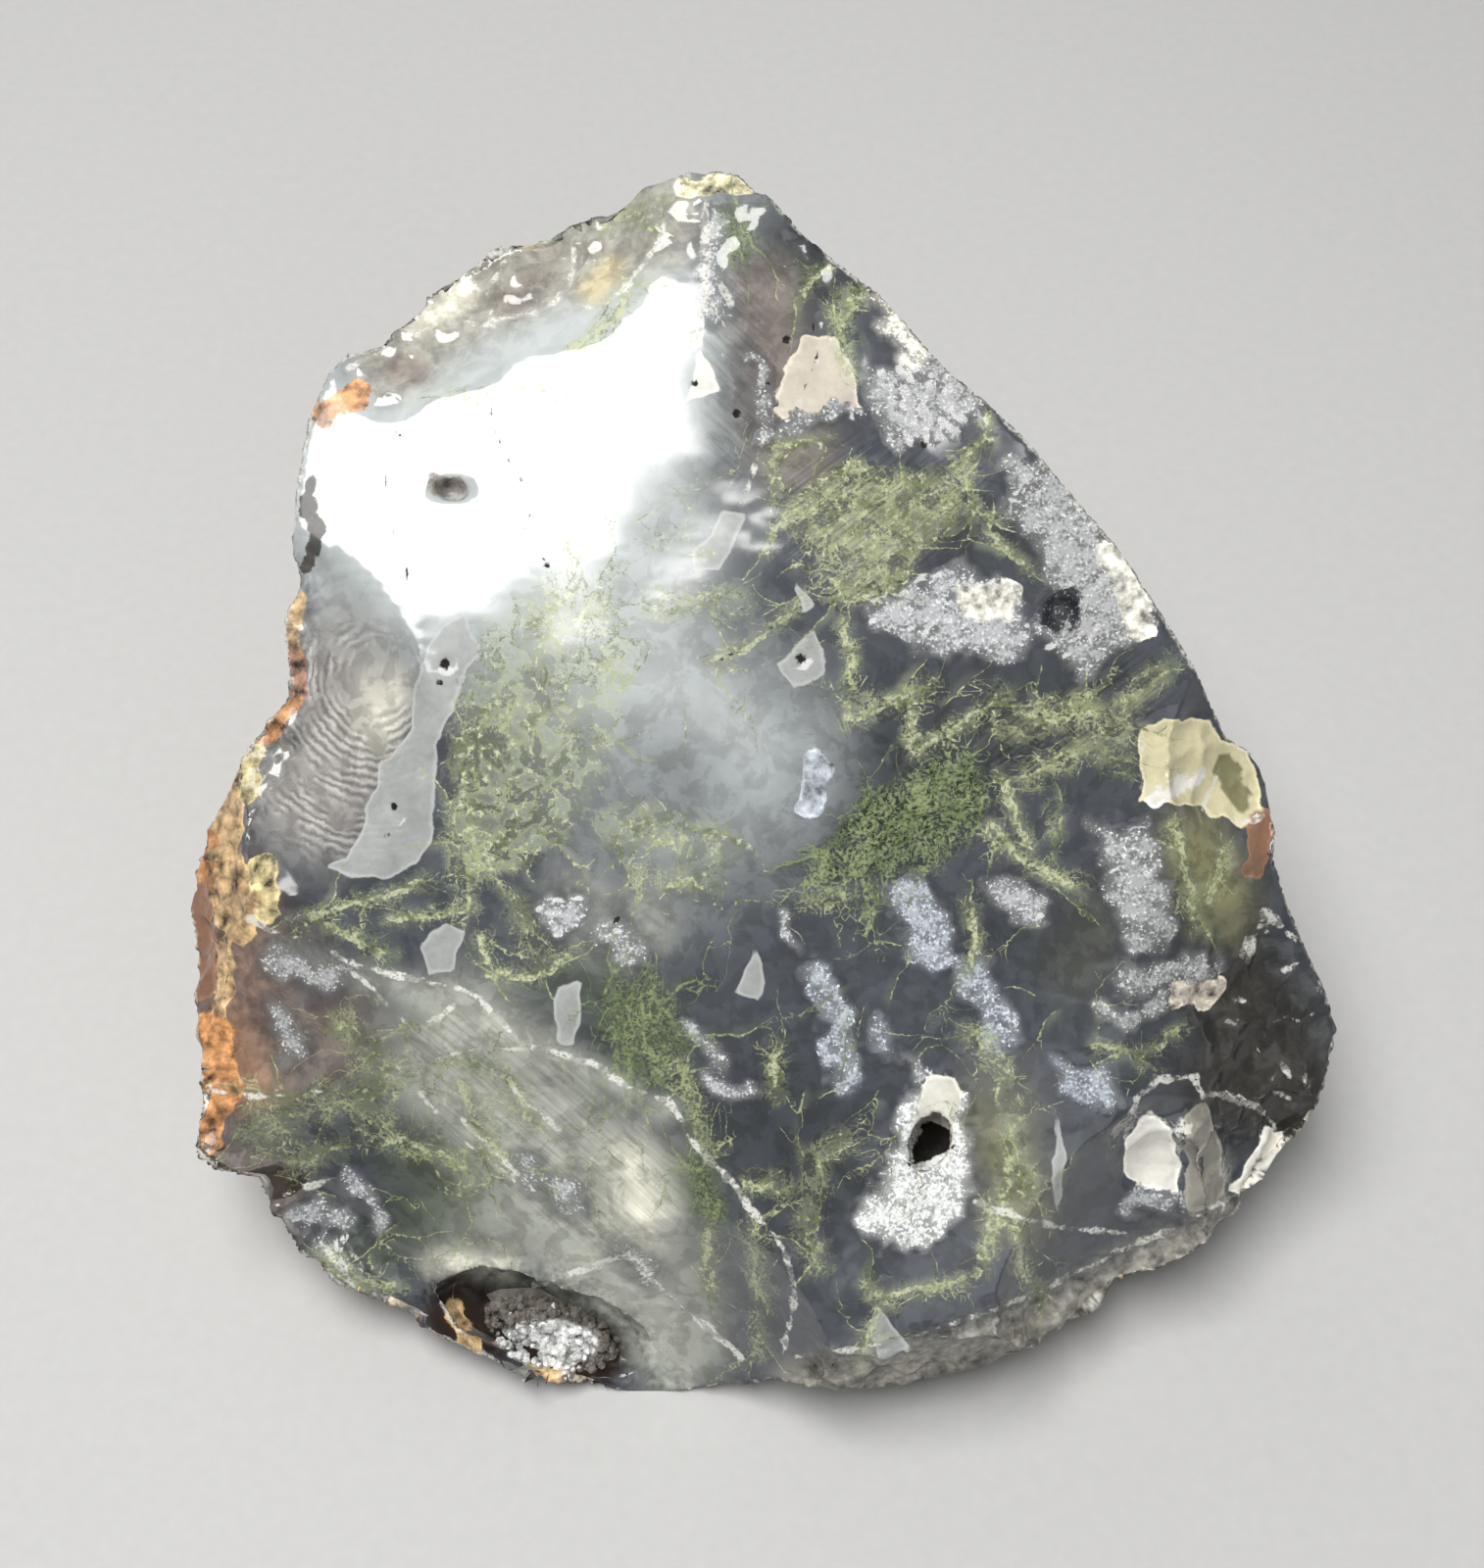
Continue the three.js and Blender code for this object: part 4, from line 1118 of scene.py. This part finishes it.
    ripe = (fine.rises(0.5, 0.65) * (0.4 + 0.6 * tone)) | (width.rises(0.14, 0.22) * threads * 0.7)
    thread_colour = stone.blend(ripe, thread_colour, RIPE_THREAD)
    thread_colour = stone.blend(dense * 0.6, thread_colour, DENSE_THREAD)
    colour = stone.blend(lit * 0.9, colour, thread_colour)

    # white crushed lines, worn ridges and painted glints on the black chips
    crushed = (stone.number("crushed") + wobble * 1.5 + (0.5 - cloud) * 0.7).falls(-0.10, 0.14)
    crushed = crushed * (0.3 + 0.7 * blotch.rises(0.35, 0.5))
    worn = (stone.number("crest") + wobble * 0.35).rises(0.16, 0.34) * (1 - 0.3 * facing)
    colour = stone.blend((crushed | worn) * grit.rises(0.30, 0.52) * 0.9, colour, WORN_WHITE_AND_GLINT)

    # dark cracks, and painted shade in the holes and the opening
    cracks = (stone.number("cracks") + wobble * 0.5).falls(0.02, 0.15) * (fine + blotch).rises(0.85, 1.05)
    shaded_holes = (stone.number("specks") + wobble * 1.4).falls(-0.12, 0.08)
    colour = stone.blend(shaded_holes | cracks, colour, HOLE_SHADE_AND_CRACK_DARK)
    stone.feed("Base Color", colour)

    dull = (in_patch * (0.25 + 0.75 * grain)) | crushed | worn | shaded_holes | cracks
    stone.feed("Roughness", 0.24 + 0.4 * dull + 0.12 * lit + (1 - facing) * 0.2)
    soft_edge = stone.number("ridge").falls(0.05, 0.2)
    stone.feed("Coat Weight", (1 - dull) * (0.35 + 0.65 * facing) * soft_edge * (1 - stone.number("matte")))
    granular = patch.falls(-0.3, 0.6) * grain
    relief = 0.02 * fine + 0.08 * hackle * fine + 0.16 * granular * grit + 0.03 * wave + 0.05 * abs(combed) * streak
    bump = stone.node("ShaderNodeBump", {}, {"Strength": 0.6, "Distance": 0.001, "Height": relief})
    stone.feed("Normal", bump)
    return stone.material


CLEAR_POINT, MILKY_POINT, EARTH_STAIN = (0.30, 0.31, 0.30), (0.92, 0.93, 0.92), (0.075, 0.055, 0.036)


def quartz_finish():
    quartz = Finish("quartz_points", {"IOR": 1.54, "Coat Weight": 0.6, "Coat Roughness": 0.05})
    at = quartz.node("ShaderNodeTexCoord", {}, {}, out=3)
    cloudy = quartz.noise(at, 0.0012, 4, 0.6)
    stain = (quartz.number("stained") + quartz.noise(at, 0.003, 3, 0.5) - 0.5).rises(0.35, 0.6)
    colour = quartz.blend(cloudy.rises(0.35, 0.65), CLEAR_POINT, MILKY_POINT)
    colour = quartz.blend(stain * 0.85, colour, EARTH_STAIN)
    quartz.feed("Base Color", colour)
    quartz.feed("Roughness", 0.12 + 0.3 * cloudy)
    grit = quartz.noise(at, 0.0002, 2, 0.5)
    quartz.feed("Normal", quartz.node("ShaderNodeBump", {}, {"Strength": 0.15, "Distance": 0.0001, "Height": grit}))
    return quartz.material


FLOOR_GREYS = (0.50, 0.50, 0.495), (0.56, 0.56, 0.555)


def floor_finish():
    paper = Finish("pale_floor", {"Specular IOR Level": 0.2})
    at = paper.node("ShaderNodeTexCoord", {}, {}, out=3)
    tooth = paper.noise(at, 0.0016, 3, 0.6)
    paper.feed("Base Color", paper.blend(tooth, *FLOOR_GREYS))
    paper.feed("Roughness", 0.8 + 0.1 * tooth)
    return paper.material


# ---------------------------------------------------------------- crystals of the hollow
CRYSTAL_COUNT = 420
CRYSTAL_SEED = 7
CRUST_MIDDLE = (-19.8, -56.3)
CRUST_HALF = (6.8, 3.2)
CLEAN_MIDDLE = (-20.0, -57.3)
CLEAN_HALF = (5.0, 2.6)
CRUST_TURN = math.radians(-20)


def add_crystal(work, root, axis, radius, length, turn):
    """One six-sided quartz point with its root sunk in."""
    frame_turn = Vector((0, 0, 1)).rotation_difference(axis).to_matrix().to_4x4()
    place = Matrix.Translation(root) @ frame_turn @ Matrix.Rotation(turn, 4, "Z")
    rings = []
    for height, size in ((-0.5, 1.0), (0.62, 0.94)):
        rings.append([work.verts.new(place @ Vector((math.cos(a) * radius * size, math.sin(a) * radius * size,
                                                     height * length)))
                      for a in (k * math.pi / 3 for k in range(6))])
    tip = work.verts.new(place @ Vector((radius * 0.12, 0, length)))
    work.faces.new(rings[0][::-1])
    for k in range(6):
        j = (k + 1) % 6
        work.faces.new((rings[0][k], rings[0][j], rings[1][j], rings[1][k]))
        work.faces.new((rings[1][k], rings[1][j], tip))


def make_crust(stone):
    draw = random.Random(CRYSTAL_SEED)
    ground = bmesh.new()
    ground.from_mesh(stone.data)
    ground.from_mesh(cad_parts["quartz_crust"].data)
    surface = BVHTree.FromBMesh(ground)
    ground.free()
    out = Vector(FACE_AXES[2])
    work = bmesh.new()
    for _ in range(CRYSTAL_COUNT):
        spread = math.sqrt(draw.random())
        angle = draw.random() * 2 * math.pi
        a, b = spread * math.cos(angle) * CRUST_HALF[0], spread * math.sin(angle) * CRUST_HALF[1]
        x = CRUST_MIDDLE[0] + a * math.cos(CRUST_TURN) - b * math.sin(CRUST_TURN)
        y = CRUST_MIDDLE[1] + a * math.sin(CRUST_TURN) + b * math.cos(CRUST_TURN)
        radius, length = draw.uniform(0.22, 0.62), draw.uniform(0.5, 1.3)
        lean = Vector([draw.gauss(0, 0.35) for _ in range(3)])
        turn = draw.random() * math.pi
        start = Vector(off_face((x, y, 10)))
        spot, normal, _, _ = surface.ray_cast(start, -out)
        if spot is None:
            continue
        if normal.dot(out) < 0:
            normal = -normal
        axis = (normal + out * 0.4 + lean).normalized()
        add_crystal(work, spot, axis, radius * MM, length * MM, turn)
    mesh = bpy.data.meshes.new("quartz_points")
    work.from_mesh(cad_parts["quartz_crust"].data)
    work.to_mesh(mesh)
    work.free()
    points = np.empty(len(mesh.vertices) * 3)
    mesh.vertices.foreach_get("co", points)
    gap = (on_face(points.reshape(-1, 3))[:, :2] - CLEAN_MIDDLE) / CLEAN_HALF
    put_values(mesh, "stained", "FLOAT", soft_step(0.6, 1.5, np.linalg.norm(gap, axis=1)))
    crust = bpy.data.objects.new("quartz_points", mesh)
    bpy.context.scene.collection.objects.link(crust)
    return crust


# ---------------------------------------------------------------- stage
def add_light(name, spot, target, sizes, power, colour, along):
    """A softbox whose long side lies along the given direction."""
    lamp = bpy.data.lights.new(name, "AREA")
    lamp.shape = "RECTANGLE"
    lamp.size, lamp.size_y = sizes
    lamp.energy = power
    lamp.color = colour
    light = bpy.data.objects.new(name, lamp)
    bpy.context.scene.collection.objects.link(light)
    back = (Vector(spot) - Vector(target)).normalized()
    long_side = (Vector(along) - back * back.dot(Vector(along))).normalized()
    turn = Matrix((long_side, back.cross(long_side), back)).transposed().to_4x4()
    light.matrix_world = Matrix.Translation(spot) @ turn


# The softbox stands where the glassy upper left of the face mirrors it to the camera.
GLARE_WAY = (-0.4, 0.916)
GLARE_TILT = math.radians(30)
GLARE_AWAY = 0.55
# The other softboxes: name, place from the middle of the face, side, power, colour.
SIDE_LIGHTS = [
    ("fill", (0.35, -0.75, 0.45), 0.6, 1.1, (0.97, 0.98, 1)),
    ("back", (-0.35, 0.85, 0.45), 0.8, 1.4, (1, 0.99, 0.98)),
]
FLOOR_HALF = 1.5
ROOM_GREY = (0.16, 0.16, 0.165, 1)
SENSOR_MM, LENS_MM = 36, 51.75


def make_stage():
    corners = [(FLOOR_HALF * a, FLOOR_HALF * b, 0) for a, b in ((-1, -1), (1, -1), (1, 1), (-1, 1))]
    floor_mesh = bpy.data.meshes.new("floor")
    floor_mesh.from_pydata(corners, [], [(0, 1, 2, 3)])
    floor = bpy.data.objects.new("floor", floor_mesh)
    bpy.context.scene.collection.objects.link(floor)
    floor_mesh.materials.append(floor_finish())

    centre = Vector(FACE_CENTRE) * MM
    tilt = Vector(FACE_AXES[0] * GLARE_WAY[0] + FACE_AXES[1] * GLARE_WAY[1])
    glare = (Vector(FACE_AXES[2]) + math.tan(GLARE_TILT) * tilt).normalized()
    add_light("softbox", centre + GLARE_AWAY * glare, centre, (0.42, 0.27), 4.1, (1, 0.99, 0.97), tilt)
    for name, spot, side, power, colour in SIDE_LIGHTS:
        add_light(name, centre + Vector(spot), centre, (side, side), power, colour, (1, 0, 0))

    world = bpy.data.worlds.new("room")
    world.use_nodes = True
    world.node_tree.nodes["Background"].inputs["Color"].default_value = ROOM_GREY
    bpy.context.scene.world = world
    bpy.context.scene.view_settings.view_transform = "Standard"

    lens = bpy.data.cameras.new("camera")
    lens.sensor_fit = "VERTICAL"
    lens.sensor_height = SENSOR_MM
    lens.lens = LENS_MM
    lens.clip_start = 0.01
    camera = bpy.data.objects.new("camera", lens)
    bpy.context.scene.collection.objects.link(camera)
    camera.location = centre + Vector(FACE_AXES[2]) * VIEW_MM * MM
    camera.rotation_euler = (FACE_SLOPE, 0, 0)
    bpy.context.scene.camera = camera


make_stage()
stone = make_stone()
stone.data.materials.append(agate_finish())
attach(stone, "root")
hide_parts("agate")
crust = make_crust(stone)
crust.data.materials.clear()
crust.data.materials.append(quartz_finish())
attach(crust, "root")
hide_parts("quartz_crust")
